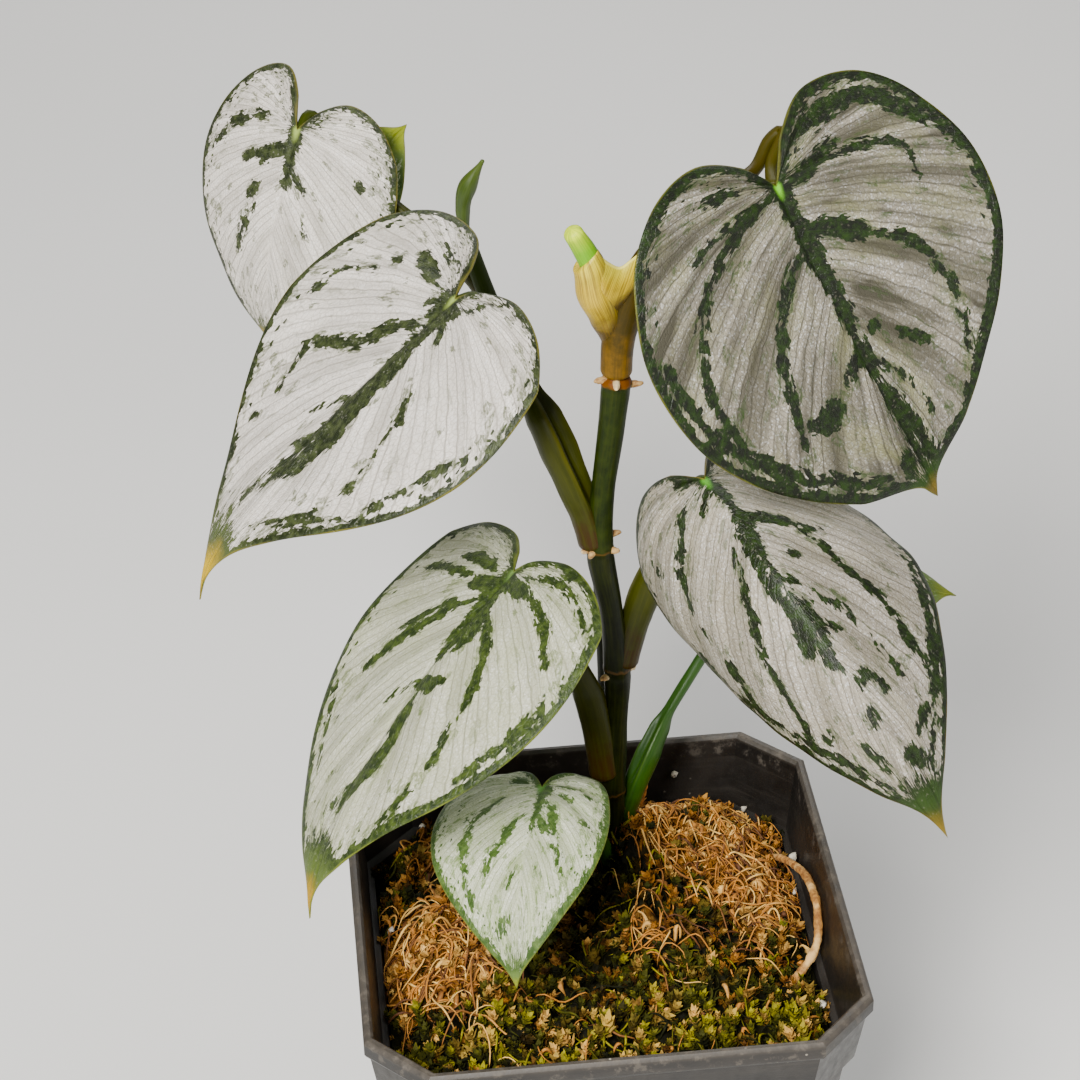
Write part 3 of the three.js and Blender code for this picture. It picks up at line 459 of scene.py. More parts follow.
def close_up(mesh, outward=True):
    """Merges the points of seams and poles, and turns the faces out."""
    bm = bmesh.new()
    bm.from_mesh(mesh)
    bmesh.ops.remove_doubles(bm, verts=bm.verts, dist=1e-7)
    bmesh.ops.dissolve_degenerate(bm, edges=bm.edges, dist=1e-8)
    if outward:
        bmesh.ops.recalc_face_normals(bm, faces=bm.faces)
    bm.to_mesh(mesh)
    bm.free()
    mesh.update()


def in_scene(name, data):
    made = bpy.data.objects.new(name, data)
    bpy.context.scene.collection.objects.link(made)
    return made


def finished(name, mesh, looks, replaces=(), smooth_faces=True):
    """Makes a piece of a mesh in metres, on the plant's one body."""
    piece = in_scene(name, mesh)
    for look in looks:
        mesh.materials.append(look)
    if smooth_faces:
        mesh.shade_smooth()
    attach(piece, "root")
    if replaces:
        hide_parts(*replaces)
    return piece


def grid(columns, rows):
    bm = bmesh.new()
    bmesh.ops.create_grid(bm, x_segments=columns, y_segments=rows, size=1)
    return bm


def turned(a, b, angle):
    """Turns two coordinates, from the first toward the second."""
    c, s = np.cos(angle), np.sin(angle)
    return a * c - b * s, a * s + b * c


def waves(points, size, seed, octaves=2):
    """A smooth random height over points, about -1 to 1, with bumps of a given size."""
    waves_each = 10
    dice = np.random.default_rng(seed)
    total = np.zeros(len(points))
    for octave in range(octaves):
        spread = np.zeros(len(points))
        for _ in range(waves_each):
            way = dice.normal(size=3)
            way /= np.linalg.norm(way)
            pitch = 2 * math.pi / size * 2 ** octave * dice.uniform(0.7, 1.35)
            spread += np.cos(points @ way * pitch + dice.uniform(0, 2 * math.pi))
        total += spread / waves_each ** 0.5 / 2 ** octave
    return total


# Stalks

def stretch_of(count, t):
    """Which of a number of equal stretches t lies in, from 0 to 1 over them all, and how far along it."""
    place = np.clip(t, 0, 1) * count
    first = np.minimum(place.astype(int), count - 1)
    return first, place - first


def between(a, b, c, d, f):
    """The place and the direction between b and c on a smooth curve through four points, f from 0 to 1."""
    u, v = (c - a) / 2, (d - b) / 2
    cube = 2 * b - 2 * c + u + v
    square = -3 * b + 3 * c - 2 * u - v
    return cube * f ** 3 + square * f ** 2 + u * f + b, 3 * cube * f ** 2 + 2 * square * f + u


def curve_points(points, t):
    """Places and directions on a smooth curve through points, t from 0 to 1."""
    p = np.array(points, float)[:, :3]
    p = np.vstack([2 * p[0] - p[1], p, 2 * p[-1] - p[-2]])
    first, f = stretch_of(len(points) - 1, t)
    where, way = between(p[first], p[first + 1], p[first + 2], p[first + 3], f[:, None])
    return where, way / np.linalg.norm(way, axis=1)[:, None]


def sizes_at(points, t):
    """Half width, half depth and channel of a stalk, t from 0 to 1."""
    p = np.array(points, float)
    first, f = stretch_of(len(points) - 1, t)
    part = smooth(f, 0, 1)[:, None]
    return (p[first, 3:] * (1 - part) + p[first + 1, 3:] * part).T


def stalk(name, points, shape, inner=(0, -1, 0.3), sides=28, spacing=0.7, blunt=(0.6, 0.6), slant=0):
    """A stalk along a smooth curve, with rounded ends and a channel on its inner side. shape changes the
    radius by the turn about the curve, the share and the distance along it, and the place. blunt gives how
    far each end is rounded, in radii. slant cuts the top lower on the left."""
    dense = np.linspace(0, 1, 2000)
    where, _ = curve_points(points, dense)
    arc = np.concatenate([[0], np.cumsum(np.linalg.norm(np.diff(where, axis=0), axis=1))])
    total = arc[-1]
    foot_round = max(0.02, blunt[0] * points[0][3])
    top_round = max(0.02, blunt[1] * points[-1][3])
    steps = np.linspace(0, 1, 6) ** 2
    count = max(4, int((total - foot_round - top_round) / spacing))
    middle = np.linspace(foot_round, total - top_round, count)
    marks = np.concatenate([steps * foot_round, middle[1:-1], total - steps[::-1] * top_round])
    mesh = mesh_of(name, grid(sides, len(marks) - 1))
    raw = points_of(mesh)
    turn = raw[:, 0] * math.pi
    row = np.rint((raw[:, 1] + 1) / 2 * (len(marks) - 1)).astype(int)
    distance = marks[row]
    t = np.interp(distance, arc, dense) * (1 - slant * (1 - np.sin(turn + 0.6)) / 2)
    place, way = curve_points(points, t)
    width, depth, channel = sizes_at(points, t)
    to_end = np.clip(np.minimum(distance / foot_round, (total - distance) / top_round), 0, 1)
    rim = np.sqrt(np.clip(1 - (1 - to_end) ** 2, 0, 1))
    inner = np.array(inner, float)
    inward = inner - (way @ inner)[:, None] * way
    inward /= np.linalg.norm(inward, axis=1)[:, None]
    across = np.cross(way, inward)
    groove = 1 - channel * np.exp(-((turn / CHANNEL_HALF_WIDTH) ** 2))
    lip = channel * np.exp(-(((np.abs(turn) - LIP_TURN) / LIP_HALF_WIDTH) ** 2))
    change = (1 + LIP_SWELL * lip) * shape(turn, t, distance, place)
    reach = rim * groove * change
    place = place + inward * (reach * depth * np.cos(turn))[:, None]
    place = place + across * (rim * change * width * np.sin(turn))[:, None]
    move_points(mesh, place * MM)
    paint(mesh, "along", t)
    paint(mesh, "lip", np.clip(lip, 0, 1))
    lay_flat(mesh, "Round", np.stack([(turn / math.pi + 1) * 0.5, distance / 40], 1))
    close_up(mesh)
    return mesh


# Blades

def outline_at(vein):
    last = len(HALF_OUTLINE) - 1
    first, f = stretch_of(last, vein)
    points = (HALF_OUTLINE[np.clip(first + k, 0, last)] for k in (-1, 0, 1, 2))
    return between(*points, f[..., None])[0]


def flat_blade(leaf, vein, out):
    """A point of the blade before it's bent: vein from the sinus to the tip, out from -1 to 1."""
    side = (out >= 0).astype(int)
    wide, far = np.moveaxis(outline_at(vein), -1, 0)
    lobe, taper, half = (np.array(leaf[key])[side] for key in ("lobe", "taper", "halfWidth"))
    along = np.where(far < 0, far * lobe, far) * leaf["length"]
    across = np.maximum(wide, 0) ** np.where(far > WIDEST_ALONG, taper, 1.0) * half
    across = across * (1 - leaf.get("drip", 0.2) * smooth(far, 0.84, 0.955))
    margin = np.stack([across, along], -1)
    run = np.maximum(0, (vein - LOBE_VEINS_END) / (1 - LOBE_VEINS_END)) ** RIB_RUN_POWER
    root = np.stack([0 * run, run * leaf["length"]], -1)
    reach = margin - root
    bow = VEIN_BOW * smooth(vein, 0, 0.3)
    middle = root + reach / 2 + np.stack([reach[..., 1], -reach[..., 0]], -1) * bow[..., None]
    share = np.abs(out)[..., None]
    return (1 - share) ** 2 * root + 2 * (1 - share) * share * middle + share ** 2 * margin


def pleat(vein, out):
    """Swells between the side veins, creased along each vein, and flat at the midrib, margin and tip."""
    crest = np.abs(np.sin(math.pi * PLEAT_RATE * (vein - FIRST_VEIN))) ** 0.9
    return PLEAT_HEIGHT * crest * np.sin(math.pi * out ** 0.9) * (1 - vein ** 6)


def bend(along, off, start, length, degrees):
    """Bends a sheet by an angle over a length from start, and carries on straight past it."""
    angle = math.radians(degrees)
    if abs(angle) < 1e-6:
        return along, off
    within = np.clip(along - start, 0, length)
    beyond = along - start - within
    rate = angle / length
    c, s = np.cos(rate * within), np.sin(rate * within)
    return start + s / rate + beyond * c + off * s, -(1 - c) / rate - beyond * s + off * c


def on_plant(leaf, across, along, off):
    """Turns places of a blade to the leaf's heading, and moves them to where it's attached."""
    heading, dip, roll = (math.radians(leaf[key]) for key in ("heading", "dip", "roll"))
    turn = Matrix.Rotation(heading, 3, "Z") @ Matrix.Rotation(-dip, 3, "X") @ Matrix.Rotation(roll, 3, "Y")
    points = np.stack(np.broadcast_arrays(across, along, off), -1)
    return points @ np.array(turn).T + np.array(leaf["attach"])


def placed(leaf, out, flat, lift):
    """Bends a flat point of a blade, lifted off its sheet, into its place on the plant."""
    side = (out >= 0).astype(int)
    sign = np.where(out >= 0, 1, -1)
    rate = np.radians(np.array(leaf["curl"], float))[side] / np.array(leaf["halfWidth"])[side] + 1e-7
    fold = math.radians(leaf["fold"])
    slope = fold + rate * flat[..., 0]
    lean = slope * np.minimum(1, flat[..., 0] / RIB_HALF_WIDTH)
    across = sign * ((np.sin(slope) - np.sin(fold)) / rate - lift * np.sin(lean))
    off = (np.cos(fold) - np.cos(slope)) / rate + lift * np.cos(lean)
    along = flat[..., 1]
    back, down = bend(-along, off, 0, 0.18 * leaf["length"], leaf["lobeBend"])
    off = np.where(along < 0, down, off)
    along = np.where(along < 0, -back, along)
    along, off = bend(along, off, 0.75 * leaf["length"], 0.25 * leaf["length"], leaf["tipCurl"])
    twist = math.radians(leaf["twist"]) * np.clip(along / leaf["length"], 0, 1.2)
    off, across = turned(off, across, twist)
    along, off = bend(along, off, 0, leaf["length"], leaf["droop"])
    along, across = bend(along, across, 0, leaf["length"], leaf["sideBend"])
    return on_plant(leaf, across, along, off)


def signed(leaf, vein, out):
    """Flat points with across negative on the blade's own left."""
    flat = flat_blade(leaf, vein, out)
    return np.stack([np.where(out < 0, -flat[..., 0], flat[..., 0]), flat[..., 1]], -1)


def nearest(points, targets, reach=0):
    """Distance of every point to the nearest target, less that target's reach."""
    some = 1500
    best = []
    for start in range(0, len(points), some):
        gap = np.linalg.norm(points[start:start + some, None] - targets[None], axis=2) - reach
        best.append(gap.min(axis=1))
    return np.concatenate(best)


def streak_field(leaf, flat):
    """How deep every flat point lies inside a streak, in millimetres, and below 0 outside all of them."""
    places, reaches = [], []
    for half, *knots in leaf["streaks"]:
        knots = np.array(knots, float)
        steps = np.linspace(0, len(knots) - 1, 14 * (len(knots) - 1) + 1)
        out = np.interp(steps, range(len(knots)), knots[:, 0])
        vein = np.interp(steps, range(len(knots)), knots[:, 1])
        places.append(signed(leaf, vein, out))
        reaches.append((1.2 * half + 0.15) * (0.5 + 0.5 * np.sin(math.pi * steps / steps[-1]) ** 0.6))
    return -nearest(flat, np.vstack(places), np.concatenate(reaches))


def margin_places(leaf):
    """Flat points all round the margin of a blade."""
    side, foot = 260, 60
    vein = np.concatenate([np.linspace(FIRST_VEIN, 1, side)] * 2 + [np.full(foot, FIRST_VEIN)])
    out = np.concatenate([np.full(side, -1.0), np.full(side, 1.0), np.linspace(-1, 1, foot)])
    return signed(leaf, vein, out)


def blade(leaf, look, underside):
    columns, rows = SMALL_GRID if leaf["length"] < SMALL_BELOW else LARGE_GRID
    mesh = mesh_of("blade_" + leaf["name"], two_sided(columns, rows))
    raw = points_of(mesh)
    out = np.sign(raw[:, 0]) * np.abs(raw[:, 0]) ** 1.2
    vein = FIRST_VEIN + (1 - FIRST_VEIN) * (raw[:, 1] + 1) / 2
    below = raw[:, 2] < -0.5
    flat = signed(leaf, vein, out)
    edge = nearest(flat, margin_places(leaf))
    from_rib = np.abs(flat[:, 0])
    before_tip = np.clip(1 - flat[:, 1] / leaf["length"], 0, 1)
    on_blade = smooth(flat[:, 1], -1, 2)
    relief = pleat(vein, np.abs(out))
    fine = np.cos(6 * math.pi * PLEAT_RATE * (vein - FIRST_VEIN))
    relief = relief + FINE_PLEAT_HEIGHT * fine * np.sin(math.pi * np.abs(out)) * smooth(1 - vein, 0, 0.2)
    swell = waves(np.column_stack([flat, 0 * vein]), SWELL_SIZE, len(leaf["name"]), 1)
    relief = relief + SWELL_HEIGHT * swell
    valley = RIB_VALLEY * np.exp(-((from_rib / 0.7) ** 2)) * on_blade * before_tip ** 0.5
    rib_width = 0.35 + 0.5 * before_tip
    ridge = RIB_RIDGE * np.exp(-((from_rib / rib_width) ** 2)) * on_blade * before_tip ** 0.4
    thick = BLADE_THICKNESS * (0.55 + 0.45 * smooth(edge, 0, 1.2))
    lift = np.where(below, relief - thick / 2 - ridge, relief + thick / 2 - valley)
    move_points(mesh, placed(leaf, out, flat_blade(leaf, vein, out), lift) * MM)
    paint(mesh, "vein", vein)
    paint(mesh, "out", out)
    paint(mesh, "edge", edge)
    to_tip = np.linalg.norm(flat - np.array([0, leaf["length"]]), axis=1)
    green_tip = (leaf.get("greenTip", 8) - to_tip) * 0.3
    paint(mesh, "streak", np.clip(np.maximum(streak_field(leaf, flat), green_tip), -4, 4))
    spot = np.exp(-((flat[:, 0] / 0.9) ** 2)) * np.clip(1 - np.maximum(flat[:, 1], -flat[:, 1] * 3) / 4, 0, 1)
    paint(mesh, "spot", spot)
    paint(mesh, "tip", np.clip(1 - to_tip / (1.8 * leaf.get("tip", 7)), 0, 1))
    lay_flat(mesh, "Flat", flat / 100 + 0.5)
    close_up(mesh, outward=False)
    finished("silver_" + leaf["name"], mesh, [look, underside], ["blade_" + leaf["name"]])


# Node helpers

def srgb(red, green, blue):
    """A colour given as red, green and blue from 0 to 255, as the shaders take it."""
    parts = [c / 255 for c in (red, green, blue)]
    return tuple(c / 12.92 if c <= 0.04045 else ((c + 0.055) / 1.055) ** 2.4 for c in parts) + (1.0,)


def node(tree, kind, inputs=None, **settings):
    """Adds a node, with each input linked or set. Colours are set as red, green and blue from 0 to 255."""
    made = tree.nodes.new("ShaderNode" + kind)
    for name, value in settings.items():
        setattr(made, name, value)
    for key, value in (inputs or {}).items():
        socket = made.inputs[key]
        if isinstance(value, bpy.types.NodeSocket):
            tree.links.new(value, socket)
        elif value is not None:
            socket.default_value = srgb(*value) if socket.type == "RGBA" else value
    return made


def after(kind, inputs, **settings):
    """Adds a node to the tree that its inputs come from."""
    tree = next(value.id_data for value in inputs.values() if isinstance(value, bpy.types.NodeSocket))
    return node(tree, kind, inputs, **settings)


def math_helper(operation):
    def helper(a, b=None):
        return after("Math", {0: a, 1: b}, operation=operation).outputs[0]
    return helper


sum_of = math_helper("ADD")
less = math_helper("SUBTRACT")
times = math_helper("MULTIPLY")
largest = math_helper("MAXIMUM")
absolute = math_helper("ABSOLUTE")
sine = math_helper("SINE")
fraction = math_helper("FRACT")
whole = math_helper("FLOOR")


def scaled(value, low, high, to_low, to_high, step="LINEAR"):
    ends = {1: low, 2: high, 3: to_low, 4: to_high}
    return after("MapRange", {0: value, **ends}, interpolation_type=step).outputs[0]


def fade(value, low, high):
    """0 below low and 1 above high, with a soft step between."""
    return scaled(value, low, high, 0.0, 1.0, "SMOOTHSTEP")


def mix(factor, a, b):
    return after("Mix", {0: factor, 6: a, 7: b}, data_type="RGBA").outputs[2]


def noise(vector, scale, detail=3.0, roughness=0.55):
    inputs = {"Vector": vector, "Scale": scale, "Detail": detail, "Roughness": roughness}
    return after("TexNoise", inputs).outputs[0]


def cells(vector, scale, feature="F1"):
    inputs = {"Vector": vector, "Scale": scale}
    return after("TexVoronoi", inputs, voronoi_dimensions="2D", feature=feature).outputs


def random_cell(vector, scale):
    """One random number for each cell of a pattern."""
    return after("SeparateColor", {0: cells(vector, scale)["Color"]}).outputs[0]


def stretched(x, y, x_scale, y_scale):
    return after("CombineXYZ", {0: times(x, x_scale), 1: times(y, y_scale)}).outputs[0]


def from_middle(count):
    """How far a place is from the middle between two whole numbers: 0 halfway, and 0.5 at each of them."""
    return absolute(less(fraction(count), 0.5))


def read(tree, name):
    return node(tree, "Attribute", attribute_name=name).outputs["Fac"]


def uv_map(tree, name):
    return node(tree, "UVMap", uv_map=name).outputs[0]


def object_place(tree):
    return node(tree, "TexCoord").outputs["Object"]


def height_of(place):
    """The height of a place above the floor, in millimetres."""
    return times(after("SeparateXYZ", {0: place}).outputs[2], 1 / MM)


def new_group(name, inputs, outputs):
    """Starts a node group. Its sockets are given by kind."""
    tree = bpy.data.node_groups.new(name, "ShaderNodeTree")
    for side, sockets in (("INPUT", inputs), ("OUTPUT", outputs)):
        for kind, labels in sockets.items():
            for label in labels:
                tree.interface.new_socket(name=label, in_out=side, socket_type="NodeSocket" + kind)
    return tree, tree.nodes.new("NodeGroupInput").outputs, tree.nodes.new("NodeGroupOutput").inputs


def put_out(gives, **values):
    """Links what a node group gives."""
    for label, value in values.items():
        value.id_data.links.new(value, gives[label])


def material(name, paint_it, **shader):
    """A material with one plain shader. paint_it links what varies over the surface, and shader gives what is
    the same all over."""
    made = bpy.data.materials.new(name)
    made.use_nodes = True
    principled = made.node_tree.nodes["Principled BSDF"]
    for label, value in shader.items():
        principled.inputs[label.replace("_", " ")].default_value = value
    paint_it(made.node_tree, principled)
    return made


def finish_surface(principled, colour, roughness=None, height=None, depth=0.0002, strength=0.5):
    links = principled.id_data.links
    links.new(colour, principled.inputs["Base Color"])
    if roughness is not None:
        links.new(roughness, principled.inputs["Roughness"])
    if height is not None:
        bump = after("Bump", {"Strength": strength, "Distance": depth, "Height": height})
        links.new(bump.outputs[0], principled.inputs["Normal"])


# Leaf materials

def silver_pattern():
    """Silver cells on a green blade: ragged green streaks along the veins, a green margin with a tan edge,
    fine side veins, a net of veinlets, a grain with painted glints, and painted shade in bands and valleys
    along the veins."""
    pattern, given, gives = new_group(
        "Silver leaf pattern",
        {
            "Vector": ["Flat"],
            "Float": [
                "Vein", "Out", "Streak", "Edge", "Spot", "Tip",
                "Raggedness", "Green band", "Thin silver", "Fine streaks", "Valleys",
            ],
            "Color": [
                "Silver", "Shade", "Tint", "Green", "Light green", "Edge colour", "Tip colour", "Spot colour",
            ],
        },
        {"Color": ["Color"], "Float": ["Roughness", "Height"]},
    )
    flat, edge, tip, shade = (given[label] for label in ("Flat", "Edge", "Tip", "Shade"))
    light = given["Light green"]
    out = absolute(given["Out"])
    vein = sum_of(given["Vein"], times(less(noise(flat, 22.0, 2.0), 0.5), 0.012))

    def drawn_out(across, along):
        """Places on the blade, for a pattern that is drawn out along its side veins."""
        return stretched(vein, given["Out"], across, along)

    # Green streaks and margin, with ragged edges, and freckles near the margin
    big = random_cell(drawn_out(78.0, 19.0), 1.0)
    small = random_cell(drawn_out(165.0, 46.0), 1.0)
    broad = noise(flat, 15.0, 3.0)
    ragged = sum_of(scaled(big, 0, 1, -0.62, 0.62), scaled(small, 0, 1, -0.34, 0.34))
    ragged = times(sum_of(ragged, scaled(broad, 0.3, 0.7, -0.6, 0.6)), given["Raggedness"])
    field = largest(given["Streak"], less(given["Green band"], edge))
    green = fade(sum_of(field, ragged), -0.08, 0.10)
    freckle = fade(sum_of(small, scaled(edge, 0.0, 7.0, 0.16, 0.0)), 1.04, 1.055)
    green = largest(green, freckle)

    # Silver: a grain with painted glints, painted shade in bands along the veins, tinted patches, painted
    # shade in the pleats' valleys, side veins and veinlets
    grain = noise(flat, 420.0, 2.0, 0.7)
    # Painted glints: white flecks on the silver, and faint silver flecks on the green further down
    painted_glints = random_cell(flat, 360.0)
    silver = mix(scaled(grain, 0.3, 0.7, 0.0, 0.5), given["Silver"], shade)
    silver = mix(scaled(painted_glints, 0.75, 1.0, 0.0, 0.45), silver, (255, 255, 255))
    # Painted shade: duller silver in bands along the veins, stronger where Valleys is higher
    band = scaled(noise(drawn_out(30.0, 1.6), 1.0, 3.0, 0.6), 0.38, 0.68, 0.0, 1.0)
    silver = mix(times(band, sum_of(given["Valleys"], 0.4)), silver, shade)
    patch = noise(drawn_out(11.0, 2.4), 1.0, 4.0, 0.6)
    silver = mix(scaled(patch, 0.48, 0.72, 0.0, 0.6), silver, given["Tint"])
    # Painted shade: duller silver in the valleys between the pleats, away from the midrib
    crest = absolute(sine(times(less(vein, FIRST_VEIN), math.pi * PLEAT_RATE)))
    valley = times(fade(out, 0.05, 0.3), fade(crest, 0.75, 0.1))
    silver = mix(times(valley, given["Valleys"]), silver, shade)
    count = times(vein, 7 * PLEAT_RATE)
    line = times(fade(from_middle(count), 0.38, 0.47), fade(out, 0.015, 0.06))
    strength = after("TexWhiteNoise", {"W": whole(count)}, noise_dimensions="1D").outputs[0]
    line = times(line, scaled(strength, 0.0, 1.0, 0.45, 1.0))
    net = less(1.0, fade(cells(drawn_out(98.0, 34.0), 1.0, "DISTANCE_TO_EDGE")[0], 0.02, 0.14))
    silver = mix(times(net, 0.34), silver, shade)
    silver = mix(times(line, 0.85), silver, shade)

    # Where the silver is thin: a halo round the streaks, cells near the margin, and fine streaks between
    other = random_cell(drawn_out(63.0, 14.0), 1.0)
    halo = sum_of(field, scaled(other, 0.0, 1.0, -1.2, 1.9))
    halo = fade(sum_of(halo, scaled(big, 0.0, 1.0, -0.4, 0.4)), 0.50, 0.75)
    thin = fade(sum_of(other, scaled(broad, 0.3, 0.7, -0.14, 0.1)), 0.955, 0.97)
    rim_cells = fade(sum_of(other, scaled(edge, 0.0, 8.0, 0.45, 0.0)), 1.0, 1.03)
    thin = times(largest(halo, largest(thin, rim_cells)), given["Thin silver"])
    shreds = noise(drawn_out(190.0, 26.0), 1.0, 4.0, 0.7)
    silver = mix(times(thin, scaled(shreds, 0.42, 0.56, 0.1, 1.1)), silver, light)
    fine = noise(drawn_out(64.0, 5.0), 1.0, 3.0, 0.65)
    fine = fade(sum_of(fine, scaled(small, 0.0, 1.0, -0.035, 0.035)), 0.585, 0.635)
    silver = mix(times(fine, given["Fine streaks"]), silver, light)

    # Green, with its own mottle and paler lines
    mottle = noise(flat, 60.0, 3.0, 0.6)
    leaf_green = mix(scaled(mottle, 0.42, 0.70, 0.0, 0.7), given["Green"], light)
    leaf_green = mix(times(line, 0.25), leaf_green, light)
    leaf_green = mix(times(fade(tip, 0.0, 0.4), 0.9), leaf_green, light)
    # Painted glints: faint silver flecks on the green
    leaf_green = mix(times(fade(painted_glints, 0.94, 0.99), 0.10), leaf_green, given["Silver"])
    colour = mix(green, silver, leaf_green)

    # Attachment, tip and edge
    colour = mix(fade(given["Spot"], 0.15, 0.9), colour, given["Spot colour"])
    dry_tip = fade(sum_of(tip, times(less(broad, 0.5), 0.5)), 0.42, 0.78)
    colour = mix(times(dry_tip, 0.95), colour, given["Tip colour"])
    rim = less(1.0, fade(sum_of(edge, scaled(broad, 0.3, 0.7, -0.12, 0.12)), 0.05, 0.34))
    colour = mix(times(rim, 0.85), colour, given["Edge colour"])
    rough = sum_of(scaled(green, 0.0, 1.0, 0.46, 0.42), scaled(grain, 0.3, 0.7, -0.06, 0.06))
    height = times(grain, 0.5)
    for part, weight in ((net, -0.35), (line, -0.6), (green, -0.12)):
        height = sum_of(height, times(part, weight))
    put_out(gives, Color=colour, Roughness=rough, Height=height)
    return pattern


# The values that a blade stores at its points, and what each look gives the pattern besides
BLADE_VALUES = ("Vein", "Out", "Streak", "Edge", "Spot", "Tip")
# valleys sets how much painted shade lies in the bands and pleat valleys of each look
LOOKS = {
    # grey: darker silver and green with strong valley shade, partly painted shade on this leaf
    "grey": dict(
        silver=(168, 160, 143), shade=(62, 59, 46), tint=(132, 132, 84),
        green=(9, 15, 0), light_green=(34, 60, 0), spot_colour=(120, 200, 30),
        edge_colour=(98, 98, 26), tip_colour=(104, 86, 4),
        raggedness=0.9, green_band=2.0, thin_silver=0.6, fine_streaks=0.35, valleys=0.7,
    ),
    # bright: near-white silver, partly a painted highlight
    "bright": dict(
        silver=(246, 238, 228), shade=(140, 134, 122), tint=(204, 197, 184),
        green=(26, 34, 8), light_green=(76, 86, 46), spot_colour=(150, 170, 80),
        edge_colour=(110, 104, 34), tip_colour=(196, 162, 0),
        raggedness=0.8, green_band=1.2, thin_silver=0.72, fine_streaks=0.3, valleys=0.16,
    ),
    "warm": dict(
        silver=(190, 181, 166), shade=(94, 88, 72), tint=(146, 139, 112),
        green=(14, 21, 1), light_green=(40, 64, 6), spot_colour=(80, 150, 30),
        edge_colour=(120, 106, 34), tip_colour=(124, 100, 2),
        raggedness=0.85, green_band=1.4, thin_silver=0.62, fine_streaks=0.45, valleys=0.25,
    ),
    "pale": dict(
        silver=(216, 214, 191), shade=(130, 132, 104), tint=(168, 172, 132),
        green=(30, 44, 8), light_green=(82, 100, 34), spot_colour=(96, 124, 60),
        edge_colour=(106, 116, 30), tip_colour=(178, 138, 2),
        raggedness=0.7, green_band=1.6, thin_silver=0.62, fine_streaks=0.3, valleys=0.16,
    ),
    "green": dict(
        silver=(226, 226, 204), shade=(138, 148, 108), tint=(158, 174, 110),
        green=(50, 76, 20), light_green=(104, 128, 62), spot_colour=(84, 140, 34),
        edge_colour=(116, 124, 40), tip_colour=(136, 146, 14),
        raggedness=0.7, green_band=1.2, thin_silver=0.72, fine_streaks=0.75, valleys=0.2,
    ),
}


def silver_leaf(name, look, pattern):
    def paint_it(tree, principled):
        inputs = {label: read(tree, label.lower()) for label in BLADE_VALUES}
        inputs.update({key.replace("_", " ").capitalize(): value for key, value in look.items()})
        inputs["Flat"] = uv_map(tree, "Flat")
        got = node(tree, "Group", inputs, node_tree=pattern).outputs
        finish_surface(principled, got["Color"], got["Roughness"], got["Height"], 0.00025, 0.55)
    return material(name, paint_it, Specular_IOR_Level=0.3)


def leaf_underside():
    """Dull grey green, with paler side veins and the streaks showing through."""
    def paint_it(tree, principled):
        flat = uv_map(tree, "Flat")
        line = fade(from_middle(times(read(tree, "vein"), 5 * PLEAT_RATE)), 0.42, 0.49)
        patch = noise(flat, 12.0, 4.0, 0.6)
        colour = mix(scaled(patch, 0.35, 0.7, 0, 1), (96, 122, 74), (132, 154, 108))
        colour = mix(fade(read(tree, "streak"), -0.5, 0.5), colour, (76, 104, 50))
        colour = mix(times(line, 0.4), colour, (158, 174, 120))
        grain = noise(flat, 300.0, 2.0)
        height = sum_of(times(line, 0.5), times(grain, 0.4))
        finish_surface(principled, colour, scaled(grain, 0.3, 0.7, 0.5, 0.62), height, 0.0002, 0.5)
    return material("Leaf underside", paint_it, Specular_IOR_Level=0.4)


# Stalk materials

def fine_lines():
    """Fine lines along a stalk with a soft mottle and a grain, from its round pattern."""
    pattern, given, gives = new_group(
        "Stalk lines", {"Vector": ["Round"], "Float": ["Count"]}, {"Float": ["Line", "Mottle", "Grain"]}
    )
    around, along, _ = after("SeparateXYZ", {0: given["Round"]}).outputs
    put_out(
        gives,
        Line=noise(stretched(around, along, given["Count"], 3.0), 1.0, 2.0),
        Mottle=noise(stretched(around, along, 5.0, 12.0), 1.0, 4.0, 0.65),
        Grain=noise(stretched(around, along, 90.0, 140.0), 1.0, 2.0),
    )
    return pattern


def lines_of(tree, lines, count):
    inputs = {"Round": uv_map(tree, "Round"), "Count": count}
    return node(tree, "Group", inputs, node_tree=lines).outputs


def stalk_material(name, lines, foot, middle, top, line_colour, lip_colour, foot_start=0.02, foot_end=0.18,
                   top_start=0.6, count=34.0, stripes=0.45, **shader):
    """A stalk's own colours from its foot to its top, with darker or paler lines and lips."""
    def paint_it(tree, principled):
        got = lines_of(tree, lines, count)
        along = sum_of(read(tree, "along"), scaled(got["Mottle"], 0.3, 0.7, -0.07, 0.07))
        colour = mix(fade(along, foot_start, foot_end), foot, middle)
        colour = mix(fade(along, top_start, 1.0), colour, top)
        colour = mix(scaled(got["Line"], 0.44, 0.62, 0, stripes), colour, line_colour)
        colour = mix(scaled(got["Mottle"], 0.5, 0.75, 0, 0.35), colour, line_colour)
        colour = mix(fade(read(tree, "lip"), 0.15, 0.6), colour, lip_colour)
        height = sum_of(got["Line"], times(got["Grain"], 0.3))
        finish_surface(principled, colour, scaled(got["Grain"], 0.3, 0.7, 0.34, 0.5), height, 0.00012, 0.5)
    return material(name, paint_it, **shader)


